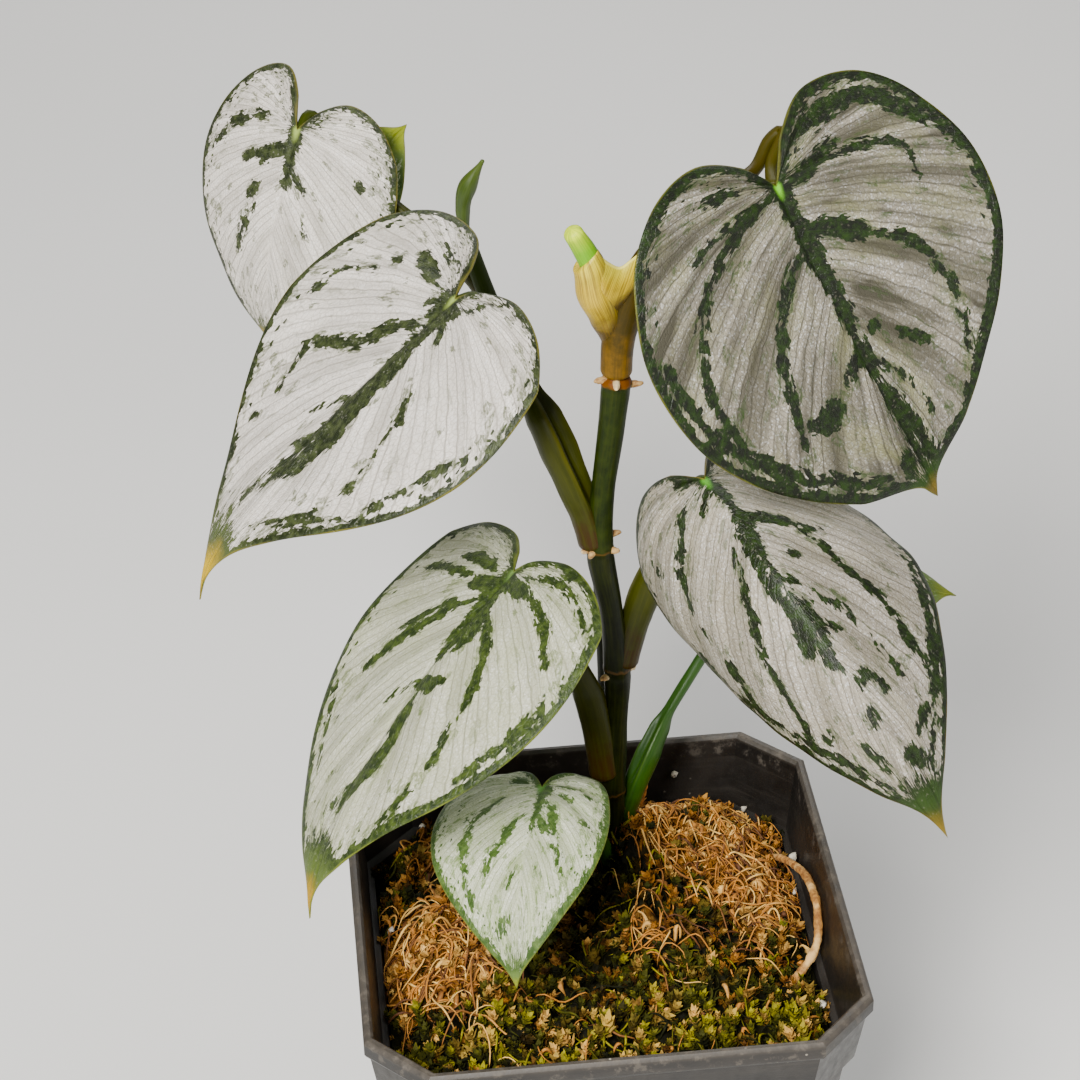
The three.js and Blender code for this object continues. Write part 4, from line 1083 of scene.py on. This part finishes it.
def stem_material(name, lines, nodes, young_from, above_node, top):
    """Dark green stem with thin ring scars at its nodes, a fresher green in its youngest length, and two
    colours of its own above its last node."""
    def paint_it(tree, principled):
        got = lines_of(tree, lines, 26.0)
        height_mm = height_of(object_place(tree))
        uneven = sum_of(height_mm, scaled(got["Mottle"], 0.3, 0.7, -0.5, 0.5))
        mottle = scaled(got["Mottle"], 0.35, 0.7, 0, 1)
        old, young = mix(mottle, (10, 14, 0), (24, 31, 0)), mix(mottle, (16, 27, 0), (36, 48, 0))
        colour = mix(fade(height_mm, young_from, young_from + 3), old, young)
        colour = mix(scaled(got["Line"], 0.45, 0.7, 0, 0.35), colour, (52, 56, 2))
        column = mix(fade(uneven, nodes[-1] + 1.0, nodes[-1] + 9.0), above_node, top)
        colour = mix(fade(uneven, nodes[-1] + 0.2, nodes[-1] + 0.6), colour, column)
        for place in nodes:
            near = less(1.0, fade(absolute(less(uneven, place + 0.5)), 0.05, 0.4))
            colour = mix(times(near, 0.5), colour, (96, 62, 16))
        height = sum_of(got["Line"], times(got["Grain"], 0.4))
        finish_surface(principled, colour, scaled(got["Grain"], 0.3, 0.7, 0.38, 0.5), height, 0.00015, 0.6)
    return material(name, paint_it, Specular_IOR_Level=0.14)


def dry_material(name, dark, light, pale):
    """Dry fibrous root, stalk or nub."""
    def paint_it(tree, principled):
        place = object_place(tree)
        fibre = noise(place, 900.0, 4.0, 0.65)
        colour = mix(scaled(fibre, 0.35, 0.68, 0, 1), dark, light)
        colour = mix(fade(noise(place, 260.0, 3.0), 0.5, 0.68), colour, pale)
        finish_surface(principled, colour, scaled(fibre, 0.3, 0.7, 0.7, 0.92), fibre, 0.0004, 0.8)
    return material(name, paint_it)


# Moss and pot materials

def moss_material(name, dark, mid, bright, **shader):
    """Moss sprigs and bed. tint picks among the given greens, whose darker end is partly painted shade deep
    in the moss, and dry turns it tan.
    """
    def paint_it(tree, principled):
        place = object_place(tree)
        patch = noise(place, 420.0, 4.0, 0.6)
        tint = sum_of(read(tree, "tint"), scaled(patch, 0.3, 0.7, -0.25, 0.25))
        colour = mix(fade(tint, 0.1, 0.6), dark, mid)
        colour = mix(fade(tint, 0.5, 1.05), colour, bright)
        dry = mix(scaled(patch, 0.35, 0.65, 0, 1), (74, 38, 4), (176, 116, 34))
        dry = mix(fade(tint, 0.35, 0.8), dry, (214, 168, 84))
        colour = mix(fade(read(tree, "dry"), 0.3, 0.75), colour, dry)
        grain = noise(place, 1500.0, 3.0, 0.6)
        colour = mix(scaled(grain, 0.3, 0.75, 0, 0.4), colour, dark)
        finish_surface(principled, colour, scaled(grain, 0.3, 0.7, 0.6, 0.9), grain, 0.0003, 0.7)
    return material(name, paint_it, **shader)


def straw_material():
    """Dry moss strands, each with its own tint."""
    def paint_it(tree, principled):
        tint = read(tree, "tint")
        colour = mix(fade(tint, 0.0, 0.5), (78, 40, 4), (188, 122, 36))
        colour = mix(fade(tint, 0.6, 1.0), colour, (236, 190, 102))
        grain = noise(object_place(tree), 1300.0, 3.0, 0.6)
        colour = mix(scaled(grain, 0.4, 0.75, 0, 0.45), colour, (84, 44, 12))
        finish_surface(principled, colour, scaled(grain, 0.3, 0.7, 0.6, 0.85), grain, 0.0002, 0.6)
    return material("Dry sphagnum", paint_it)


def pot_material():
    """Black moulded plastic with a lighter grey rim, partly scuff wear and partly painted sheen, faint level
    streaks and specks of dust.
    """
    def paint_it(tree, principled):
        place = object_place(tree)
        height = height_of(place)
        scuff = noise(place, 380.0, 5.0, 0.7)
        drag = noise(after("Mapping", {"Vector": place, "Scale": (60.0, 60.0, 900.0)}).outputs[0], 1.0, 3.0)
        dust = noise(place, 45.0, 4.0, 0.6)
        colour = mix(scaled(dust, 0.4, 0.7, 0, 1), (19, 16, 13), (42, 37, 32))
        colour = mix(times(fade(drag, 0.5, 0.72), 0.14), colour, (74, 68, 60))
        # The lip and the band below it turn lighter grey: partly scuffed wear, partly painted sheen
        lip = times(fade(height, POT_HEIGHT - 1.4, POT_HEIGHT - 0.1), scaled(scuff, 0.3, 0.6, 0.3, 1.0))
        colour = mix(times(lip, 0.7), colour, (84, 76, 66))
        lip_band_wear_and_sheen = times(fade(height, LIP_BOTTOM - 0.4, LIP_BOTTOM + 0.6), fade(scuff, 0.52, 0.66))
        colour = mix(times(lip_band_wear_and_sheen, 0.5), colour, (100, 92, 82))
        speck = after("TexVoronoi", {"Vector": place, "Scale": 420.0}).outputs["Distance"]
        speck = times(less(1.0, fade(speck, 0.05, 0.13)), fade(dust, 0.58, 0.68))
        colour = mix(speck, colour, (176, 168, 152))
        rough = sum_of(scaled(scuff, 0.3, 0.7, 0.36, 0.55), times(lip, 0.12))
        grain = noise(place, 2600.0, 2.0)
        bump = sum_of(times(grain, 0.5), times(scuff, 0.5))
        finish_surface(principled, colour, rough, bump, 0.00012, 0.45)
    return material("Black moulded plastic", paint_it, Specular_IOR_Level=0.5)


# Stems, petioles and new growth

def stem(name, points, nodes, node_name, look, seed):
    """A stem with faint ribs, and a ring and a waist at each of its nodes."""
    def shape(turn, t, distance, place):
        z = place[:, 2]
        ribs = 0.012 * np.cos(7 * turn + 0.3 * z) + 0.01 * waves(place, 7, seed)
        bands = sum(size * np.exp(-(((z - n - above) / spread) ** 2))
                    for n in nodes for size, above, spread in STEM_BANDS)
        return 1 + ribs + bands
    mesh = stalk(name, points, shape, (0, -1, 0), spacing=0.35)
    finished(name, mesh, [look], [node_name])


def root_nubs(look):
    """Short blunt roots that stand out from the main stem at its nodes."""
    bm = bmesh.new()
    for point, height, reach, turns in NUBS:
        x, y, z, half = MAIN_STEM[point][:4]
        long = (reach + half) / 2
        for turn in turns:
            made = bmesh.ops.create_icosphere(bm, subdivisions=3, radius=1.0)["verts"]
            for v in made:
                blunt = math.copysign(abs(v.co.x) ** 0.5, v.co.x)
                narrow = 0.6 * (1.1 - 0.22 * blunt)
                v.co = (long * (1 + blunt), v.co.y * narrow, v.co.z * narrow)
            way = Matrix.Rotation(math.radians(turn), 4, "Z") @ Matrix.Rotation(0.05, 4, "Y")
            bmesh.ops.transform(bm, matrix=Matrix.Translation((x, y, z + height)) @ way, verts=made)
    mesh = mesh_of("root_nubs", bm)
    place = points_of(mesh)
    move_points(mesh, (place + 0.05 * waves(place, 1.1, 5)[:, None]) * MM)
    finished("root_nubs", mesh, [look])


def petiole_points(leaf):
    """The petiole's own points, and two more that bend it into the blade."""
    width, depth = leaf["petiole"][-1][3:5]
    neck = on_plant(leaf, *leaf.get("neck", NECK))
    end = on_plant(leaf, *SEAT)
    return [*leaf["petiole"], (*neck, width, depth, 0), (*end, width * 1.1, depth * 1.1, 0)]


def petiole(leaf, look):
    x, y = leaf["petiole"][0][:2]
    away = np.array([leaf["attach"][0] - x, leaf["attach"][1] - y])
    away = away / np.linalg.norm(away)

    def shape(turn, t, distance, place):
        return 1 + 0.012 * np.cos(11 * turn) + 0.012 * waves(place, 5, 3)

    name = "petiole_" + leaf["name"]
    mesh = stalk(name, petiole_points(leaf), shape, (-away[0], -away[1], 1), blunt=(0.5, 0.4))
    finished("stalk_" + leaf["name"], mesh, [look], [name])


def rolled_leaf(name, points, node_name, look, turns=0.35):
    """A leaf still rolled up, with the edge of its outer lap winding round it."""
    def shape(turn, t, distance, place):
        lap = ((turn / (2 * math.pi) + 0.5) + turns * t) % 1
        return 0.93 + 0.09 * smooth(lap, 0, 0.85) * smooth(1 - lap, 0, 0.04)
    mesh = stalk(name, points, shape, sides=48, spacing=0.35, blunt=(0.4, 0.7))
    finished(name, mesh, [look], [node_name])


def striped_sheath(look):
    def shape(turn, t, distance, place):
        return 1 + 0.007 * np.cos(30 * turn) + 0.02 * waves(place, 6, 8, 1)
    mesh = stalk("striped_sheath", NEW_LEAF_SHEATH, shape, sides=90, spacing=0.3, blunt=(0.3, 0.3), slant=0.2)
    finished("striped_sheath", mesh, [look], ["new_leaf_sheath"])


def two_sided(columns, rows):
    """A square sheet and its twin below, joined by a strip all round. The lower faces take the second
    material."""
    bm = grid(columns, rows)
    double = bmesh.ops.duplicate(bm, geom=bm.verts[:] + bm.edges[:] + bm.faces[:])["geom"]
    lower = [f for f in double if isinstance(f, bmesh.types.BMFace)]
    bmesh.ops.translate(bm, verts=list({v for f in lower for v in f.verts}), vec=(0, 0, -1))
    bmesh.ops.reverse_faces(bm, faces=lower)
    for face in lower:
        face.material_index = 1
    bmesh.ops.bridge_loops(bm, edges=[e for e in bm.edges if e.is_boundary])
    return bm


def sheath_margin(look):
    """The striped sheath's free margin, which dips between the rolled leaf and the petiole."""
    mesh = mesh_of("sheath_margin", two_sided(44, 24))
    raw = points_of(mesh)
    s = (raw[:, 0] + 1) / 2
    v = (1 - raw[:, 1]) / 2
    top, middle, foot = (curve_points(row, s)[0] for row in (SHEATH_MARGIN, SHEATH_MIDDLE, SHEATH_FOOT))
    w = v[:, None]
    sheet = top * (1 - w) * (1 - 2 * w) + middle * 4 * w * (1 - w) + foot * w * (2 * w - 1)
    thick = 0.34 * (0.5 + 0.5 * smooth(v, 0, 0.12))
    sheet[:, 1] += np.where(raw[:, 2] < -0.5, thick / 2, -thick / 2) - 0.02 * np.cos(46 * math.pi * s)
    move_points(mesh, sheet * MM)
    paint(mesh, "along", np.clip(1.05 - v + 0.12 * (0.5 - s), 0, 1))
    paint(mesh, "lip", smooth(1 - v, 0.93, 1.0))
    lay_flat(mesh, "Round", np.stack([s * 0.55 + 0.25 * v, v * 0.3], 1))
    close_up(mesh)
    finished("sheath_margin", mesh, [look])


def dry_strand(name, points, node_name, look, seed):
    def shape(turn, t, distance, place):
        return 1 + 0.08 * waves(place, 2.2, seed) + 0.07 * np.cos(5 * turn + distance)
    mesh = stalk(name, points, shape, sides=14, spacing=0.4, blunt=(0.4, 0.4))
    finished(name, mesh, [look], [node_name])


# Moss

def square_reach(x, y):
    """How far out a square with chamfered corners reaches toward a place, in half widths."""
    angle = np.arctan2(y, x)
    c, s = np.abs(np.cos(angle)), np.abs(np.sin(angle))
    return np.minimum(1 / np.maximum(c, s), (2 - CHAMFER) / (c + s))


def kept_inside(x, y, half):
    """Pulls places toward the middle where they pass the square."""
    over = np.maximum(1, np.hypot(x, y) / (half * square_reach(x, y)))
    return x / over, y / over


def inner_half(z):
    """Half the room inside the pot at a height."""
    top = POT_BASE_HALF + (POT_TOP_HALF - POT_BASE_HALF) * LEDGE / LIP_BOTTOM - WALL_AND_LEDGE
    return (POT_BASE_HALF - 1.1) + (top - POT_BASE_HALF + 1.1) * z / LEDGE


TOP_HALF = inner_half(MOSS_LEVEL) - GAP


def hills(x, y, heaps):
    """The height at a place of round heaps."""
    return sum(h * np.exp(-((x - a) ** 2 + (y - b) ** 2) / (2 * s * s)) for a, b, h, s in heaps)


def moss_height(x, y):
    """Height of the moss at a place, in millimetres."""
    edge = np.clip(np.hypot(x, y) / (TOP_HALF * square_reach(x, y)), 0, 1)
    rise = MOSS_DOME + hills(x, y, MOUNDS)
    rise = rise + sum(h * np.cos(a * x + b * y + c) for h, a, b, c in LUMPS)
    return MOSS_LEVEL + (1 - edge ** 4) * rise


def dryness(x, y):
    return np.clip(hills(x, y, DRY_PATCHES), 0, 1)


def moss_bed(look):
    """One solid from the pot's floor to the mounded top, made row by row: the underside, the wall, and rings
    that close in on the middle of the top."""
    rings, wall = 70, 10
    total = rings + wall + 3
    mesh = mesh_of("moss", grid(220, total))
    raw = points_of(mesh)
    row = np.rint((raw[:, 1] + 1) / 2 * total).astype(int)
    angle = raw[:, 0] * math.pi
    heights = np.concatenate([[FLOOR + GAP] * 2, np.linspace(FLOOR + GAP + 0.5, MOSS_LEVEL, wall + 1)])
    halves = np.concatenate([[0, inner_half(FLOOR) - GAP - 0.5], inner_half(heights[2:]) - GAP])
    shares = np.linspace(1, 0, rings + 2)[1:]
    all_halves = np.concatenate([halves, shares * TOP_HALF])
    all_heights = np.concatenate([heights, np.full(len(shares), -1.0)])
    half = all_halves[np.minimum(row, len(all_halves) - 1)]
    z = all_heights[np.minimum(row, len(all_heights) - 1)]
    reach = half * square_reach(np.cos(angle), np.sin(angle))
    x, y = reach * np.cos(angle), reach * np.sin(angle)
    top = z < 0
    spot = np.stack([x, y, 0 * x], 1)
    lumps = 0.55 * waves(spot, 5.5, 11) + 0.35 * waves(spot, 2.4, 12) + 0.18 * waves(spot, 1.2, 13, 1)
    edge = np.clip(half / TOP_HALF, 0, 1)
    z = np.where(top, moss_height(x, y) - 0.4 + lumps * (1 - edge ** 6), z)
    move_points(mesh, np.stack([x, y, z], 1) * MM)
    dice = np.random.default_rng(4)
    paint(mesh, "tint", np.clip(0.22 + 0.13 * waves(spot, 9, 21) + 0.1 * dice.normal(size=len(x)), 0, 1))
    paint(mesh, "dry", dryness(x, y) * 0.8 + 0.1 * waves(spot, 4, 22))
    close_up(mesh)
    finished("moss", mesh, [look], ["moss_bed"])


def copies_of(template, count):
    """One mesh of at least so many copies of a small one, in order, and their number, a power of 2."""
    joined = template
    made = 1
    while made < count:
        bm = bmesh.new()
        bm.from_mesh(joined)
        bm.from_mesh(joined)
        joined = mesh_of("copies", bm)
        made *= 2
    return joined, made


def sprig():
    """One moss sprig, 1 high: a three-sided stem with whorls of small pointed leaves."""
    bm = bmesh.new()
    bmesh.ops.create_cone(bm, segments=3, radius1=0.07, radius2=0.03, depth=1.0,
                          matrix=Matrix.Translation((0, 0, 0.5)))
    for level, height in enumerate((0.35, 0.55, 0.75, 0.92)):
        for k in range(3):
            made = bmesh.ops.create_grid(bm, x_segments=1, y_segments=2, size=1)["verts"]
            long = 0.36 - 0.05 * level
            for v in made:
                s = (v.co.y + 1) / 2
                wide = (0.10, 0.11, 0.015)[int(round(s * 2))]
                v.co = Vector((v.co.x * wide, s * long, 0.55 * s * long + 0.5 * s * s * long))
            turn = Matrix.Rotation(math.radians(120 * k + 47 * level), 4, "Z")
            bmesh.ops.transform(bm, matrix=Matrix.Translation((0, 0, height)) @ turn, verts=made)
    return mesh_of("sprig", bm)


def scatter(dice, count, keep):
    """Random places on the moss, kept with a given likelihood."""
    found = []
    while len(found) < count:
        x, y = dice.uniform(-TOP_HALF, TOP_HALF, 2)
        inside = np.hypot(x, y) < 0.985 * TOP_HALF * square_reach(x, y)
        if inside and dice.uniform() < keep(x, y):
            found.append((x, y))
    return np.array(found)


def moss_sprigs(name, look, count, keep, sizes, seed):
    """Sprigs all over the moss, each with its own size, lean, turn and tint."""
    template = sprig()
    each = len(template.vertices)
    mesh, made = copies_of(template, count)
    dice = np.random.default_rng(seed)
    spots = scatter(dice, made, keep)
    local = points_of(mesh).reshape(made, each, 3)
    clump = waves(np.column_stack([spots, np.zeros(made)]), 9, 33)
    size = dice.uniform(*sizes, made) * (1 + 0.28 * np.clip(clump, -1, 1.4))
    lean = dice.normal(0, 0.5, made)
    turn = dice.uniform(0, 2 * math.pi, made)
    spin = dice.uniform(0, 2 * math.pi, made)
    curve = local[:, :, 2] ** 2 * 0.35 * dice.uniform(0.2, 1, made)[:, None]
    x, y = turned(local[:, :, 0], local[:, :, 1], spin[:, None])
    z, x = turned(local[:, :, 2], x + curve, lean[:, None])
    x, y = turned(x, y, turn[:, None])
    base = moss_height(spots[:, 0], spots[:, 1]) - 1.2
    x = spots[:, 0, None] + x * size[:, None]
    y = spots[:, 1, None] + y * size[:, None]
    z = base[:, None] + z * size[:, None]
    x, y = kept_inside(x, y, inner_half(LEDGE) + 0.6)
    move_points(mesh, np.stack([x, y, z], 2).reshape(-1, 3) * MM)
    front = smooth(-spots[:, 1], -8, 30)
    tint = 0.20 + 0.34 * front * dice.uniform(0, 1, made) + 0.16 * dice.normal(size=made) + 0.10 * clump
    # Painted shade: each sprig darkens toward its foot, most at the front, and lightens toward its tip
    tint = tint[:, None] + 0.45 * (local[:, :, 2] - 0.45) * (0.35 + 0.65 * front[:, None])
    paint(mesh, "tint", np.clip(tint, 0, 1).ravel())
    brown = (dice.uniform(size=made) < 0.10 + 0.8 * dryness(spots[:, 0], spots[:, 1])) * 1.0
    paint(mesh, "dry", np.repeat(np.maximum(brown, dice.uniform(0, 0.6, made)), each))
    finished(name, mesh, [look], smooth_faces=False)


def dry_fibres(name, look, count, keep, long, thick, lift, seed, flatness):
    """Strands of moss that curl over the bed. Each is followed in small steps, so that its curl keeps its
    length."""
    steps = 40
    half_way = slice(steps // 2, steps // 2 + 1)
    template = mesh_of("strand", grid(4, 9))
    each = len(template.vertices)
    raw = points_of(template)
    mesh, made = copies_of(template, count)
    dice = np.random.default_rng(seed)
    spots = scatter(dice, made, keep)
    s = np.tile((raw[:, 1] + 1) / 2, (made, 1))
    turn = np.tile(raw[:, 0] * math.pi, (made, 1))
    length = dice.uniform(*long, made)[:, None]
    start = dice.uniform(0, 2 * math.pi, made)[:, None]
    bend_by = dice.normal(0, 1.6, made)[:, None]
    wave = dice.normal(0, 0.5, made)[:, None]
    marks = np.linspace(0, 1, steps)[None, :]
    heading = start + bend_by * marks + wave * np.sin(5 * marks)
    px = np.cumsum(np.cos(heading), 1) / steps * length
    py = np.cumsum(np.sin(heading), 1) / steps * length
    px = px - px[:, half_way] + spots[:, 0, None]
    py = py - py[:, half_way] + spots[:, 1, None]
    arch = dice.uniform(*lift, made)[:, None] * np.sin(math.pi * marks) ** 0.8
    tilt = dice.normal(0, 0.8, made)[:, None] * (marks - 0.5)
    px, py = kept_inside(px, py, inner_half(LEDGE) - 0.2)
    pz = moss_height(px, py) + arch + tilt + dice.uniform(-0.3, 0.6, made)[:, None]
    path = np.stack([px, py, pz], 2)
    way = np.gradient(path, axis=1)
    way /= np.linalg.norm(way, axis=2)[:, :, None]
    low, part = stretch_of(steps - 1, s)
    part = part[:, :, None]
    pick = np.arange(made)[:, None]
    centre = path[pick, low] * (1 - part) + path[pick, low + 1] * part
    ahead = way[pick, low] * (1 - part) + way[pick, low + 1] * part
    ahead /= np.linalg.norm(ahead, axis=2)[:, :, None]
    side = np.cross(ahead, (0, 0, 1.0))
    side /= np.maximum(np.linalg.norm(side, axis=2), 1e-6)[:, :, None]
    top = np.cross(side, ahead)
    radius = dice.uniform(*thick, made)[:, None] * np.sin(math.pi * np.clip(s, 0, 1)) ** 0.35
    roll = dice.uniform(0, math.pi, made)[:, None] + 2 * s
    first, second = turned(radius * np.cos(turn), radius * np.sin(turn) * flatness, roll)
    place = centre + side * first[:, :, None] + top * second[:, :, None]
    move_points(mesh, place.reshape(-1, 3) * MM)
    paint(mesh, "tint", np.repeat(dice.uniform(0, 1, made), each))
    close_up(mesh, outward=False)
    finished(name, mesh, [look])


# Pot

def pot_shell(look):
    """The CAD pot, with its triangles joined to flat faces and its edges rounded."""
    bm = bmesh.new()
    bm.from_mesh(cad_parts["pot"].data)
    bmesh.ops.remove_doubles(bm, verts=bm.verts, dist=1e-6)
    bmesh.ops.dissolve_limit(bm, angle_limit=math.radians(1), verts=bm.verts, edges=bm.edges)
    mesh = mesh_of("pot_shell", bm)
    piece = finished("pot_shell", mesh, [look], ["pot"])
    bevel = piece.modifiers.new("Rounded edges", "BEVEL")
    bevel.width = 0.0004
    bevel.segments = 3
    bevel.limit_method = "ANGLE"
    bevel.angle_limit = math.radians(28)
    bevel.harden_normals = True


def crumbs(look):
    """White crumbs that stick to the ledge and the inner wall."""
    dice = np.random.default_rng(19)
    bm = bmesh.new()
    for spot in CRUMBS:
        made = bmesh.ops.create_icosphere(bm, subdivisions=2, radius=dice.uniform(0.5, 1.0))["verts"]
        bmesh.ops.scale(bm, vec=dice.uniform(0.6, 1.2, 3), verts=made)
        bmesh.ops.translate(bm, vec=spot, verts=made)
    mesh = mesh_of("crumbs", bm)
    place = points_of(mesh)
    move_points(mesh, (place + 0.12 * waves(place, 0.9, 31)[:, None]) * MM)
    finished("crumbs", mesh, [look])


# Make everything

pattern = silver_pattern()
lines = fine_lines()
looks = {name: silver_leaf("Silver leaf " + name, look, pattern) for name, look in LOOKS.items()}
underside = leaf_underside()
for leaf in LEAVES:
    blade(leaf, looks[leaf["look"]], underside)

olive = stalk_material(
    "Olive petiole", lines, (50, 30, 0), (42, 45, 0), (42, 54, 0), (58, 60, 0), (72, 70, 10),
    foot_end=0.22, Specular_IOR_Level=0.18,
)
amber = stalk_material(
    "Amber petiole", lines, (108, 76, 0), (46, 37, 0), (58, 57, 0), (66, 50, 0), (104, 90, 24),
    foot_start=-0.02, foot_end=0.17, top_start=0.30, Specular_IOR_Level=0.18,
)
fresh = stalk_material(
    "Fresh green petiole", lines, (30, 42, 0), (30, 68, 0), (40, 84, 2), (52, 84, 2), (54, 84, 4),
    Specular_IOR_Level=0.35,
)
petiole_looks = {"upper_right": amber, "behind_right": fresh, "small_front": fresh, "back_small": fresh}
for leaf in LEAVES:
    petiole(leaf, petiole_looks.get(leaf["name"], olive))

stem_look = stem_material("Dark green stem", lines, MAIN_NODES, 160, (96, 52, 0), (70, 48, 0))
stem("stem", MAIN_STEM, MAIN_NODES, "main_stem", stem_look, 1)
behind_look = stem_material("Green stem behind", lines, BACK_NODES, 158, (36, 48, 0), (36, 48, 0))
stem("stem_behind", BACK_STEM, BACK_NODES, "back_stem", behind_look, 2)
root_nubs(dry_material("Tan root nub", (126, 84, 36), (196, 162, 104), (226, 204, 158)))

roll_look = stalk_material(
    "Rolled new leaf", lines, (76, 136, 0), (112, 172, 0), (206, 222, 0), (90, 146, 0), (190, 210, 40),
    top_start=0.55, Specular_IOR_Level=0.2,
)
spindle_look = stalk_material(
    "Rolled back leaf", lines, (40, 54, 4), (44, 62, 4), (60, 76, 8), (70, 86, 16), (100, 120, 40),
    Specular_IOR_Level=0.4,
)
sheath_look = stalk_material(
    "Striped sheath", lines, (60, 44, 0), (206, 174, 12), (222, 204, 40), (112, 84, 0), (232, 218, 96),
    foot_start=0.16, foot_end=0.5, count=130.0, stripes=0.8, Specular_IOR_Level=0.5,
)
rolled_leaf("rolled_leaf", NEW_LEAF_ROLL, "new_leaf_roll", roll_look)
rolled_leaf("back_rolled_leaf", BACK_LEAF_ROLL, "back_leaf_roll", spindle_look, turns=0.6)
striped_sheath(sheath_look)
sheath_margin(sheath_look)

root_look = dry_material("Dry tan root", (120, 72, 24), (196, 140, 66), (222, 178, 110))
dry_strand("curled_root", DRY_ROOT, "dry_root", root_look, 41)
upright_look = dry_material("Dry amber stalk", (120, 60, 12), (190, 112, 30), (214, 144, 56))
dry_strand("upright_stalk", DRY_STALK, "dry_stalk", upright_look, 42)

# The bed takes much darker greens than the sprigs: painted shade deep among the sprigs
shaded_bed_look = moss_material("Moss bed", (10, 9, 0), (30, 28, 2), (74, 72, 6), Specular_IOR_Level=0.12)
sprig_look = moss_material("Moss sprigs", (17, 18, 0), (62, 62, 4), (156, 146, 18), Specular_IOR_Level=0.15)
straw = straw_material()
moss_bed(shaded_bed_look)
moss_sprigs("moss_sprigs", sprig_look, 2048, lambda x, y: 1.02 - 0.93 * dryness(x, y), (2.2, 4.2), 7)
moss_sprigs("dry_heads", sprig_look, 1024, lambda x, y: dryness(x, y) ** 1.5, (1.8, 3.6), 8)
dry_fibres("dry_strands", straw, 1024, lambda x, y: 0.03 + dryness(x, y) ** 1.5, (4, 12), (0.1, 0.26),
           (0.6, 4.2), 51, 0.8)
dry_fibres("dry_shreds", straw, 512, lambda x, y: 0.04 + dryness(x, y) ** 2, (1.6, 4), (0.35, 0.8),
           (0.3, 2.6), 52, 0.35)
dry_fibres("green_strands", sprig_look, 512, lambda x, y: 1.02 - 0.9 * dryness(x, y), (4, 9), (0.12, 0.3),
           (0.3, 2.2), 53, 0.8)

pot_shell(pot_material())
crumbs(dry_material("Pale crumbs", (168, 158, 140), (214, 206, 190), (232, 226, 214)))


# Floor, light and camera

def floor():
    bm = grid(1, 1)
    bmesh.ops.scale(bm, vec=(2.5, 2.5, 1), verts=bm.verts)
    mesh = mesh_of("floor", bm)

    def paint_it(tree, principled):
        patch = noise(object_place(tree), 3.0, 2.0)
        finish_surface(principled, mix(scaled(patch, 0.3, 0.7, 0, 1), (230, 229, 226), (236, 235, 232)))
    mesh.materials.append(material("Pale floor", paint_it, Roughness=0.85, Specular_IOR_Level=0.2))
    piece = in_scene("floor", mesh)


def soft_light(name, place, target, size, power, colour=(1, 1, 1)):
    lamp = bpy.data.lights.new(name, "AREA")
    lamp.shape = "RECTANGLE"
    lamp.size, lamp.size_y = size
    lamp.energy = power
    lamp.color = colour
    holder = in_scene(name, lamp)
    holder.location = place
    holder.rotation_euler = (Vector(target) - Vector(place)).to_track_quat("-Z", "Y").to_euler()


def studio():
    world = bpy.data.worlds.new("Studio")
    bpy.context.scene.world = world
    world.use_nodes = True
    background = world.node_tree.nodes["Background"].inputs
    background["Color"].default_value = (1, 1, 1, 1)
    background["Strength"].default_value = 0.26
    soft_light("Key", (-0.32, -0.64, 0.80), (0, 0.02, 0.15), (0.32, 0.32), 21.5, (1.0, 0.985, 0.955))
    soft_light("Fill", (0.75, -0.35, 0.55), (0, 0.02, 0.12), (0.6, 0.6), 3.0)
    soft_light("Back", (0.1, 0.9, 0.8), (0, 0.02, 0.15), (0.8, 0.5), 5.0)


def camera():
    azimuth, elevation, roll = (math.radians(angle) for angle in CAMERA_TURN)
    level = Vector((math.sin(azimuth), -math.cos(azimuth), 0))
    back = level * math.cos(elevation) + Vector((0, 0, math.sin(elevation)))
    right = (-back).cross(Vector((0, 0, 1))).normalized()
    up = right.cross(-back)
    x = right * math.cos(roll) + up * math.sin(roll)
    y = up * math.cos(roll) - right * math.sin(roll)
    lens = bpy.data.cameras.new("Camera")
    lens.lens = CAMERA_LENS
    lens.sensor_width = 36
    lens.sensor_fit = "AUTO"
    lens.clip_start, lens.clip_end = 0.01, 20
    holder = in_scene("Camera", lens)
    turn = Matrix((x, y, back)).transposed().to_4x4()
    holder.matrix_world = Matrix.Translation(CAMERA_PLACE) @ turn
    bpy.context.scene.camera = holder


floor()
studio()
camera()
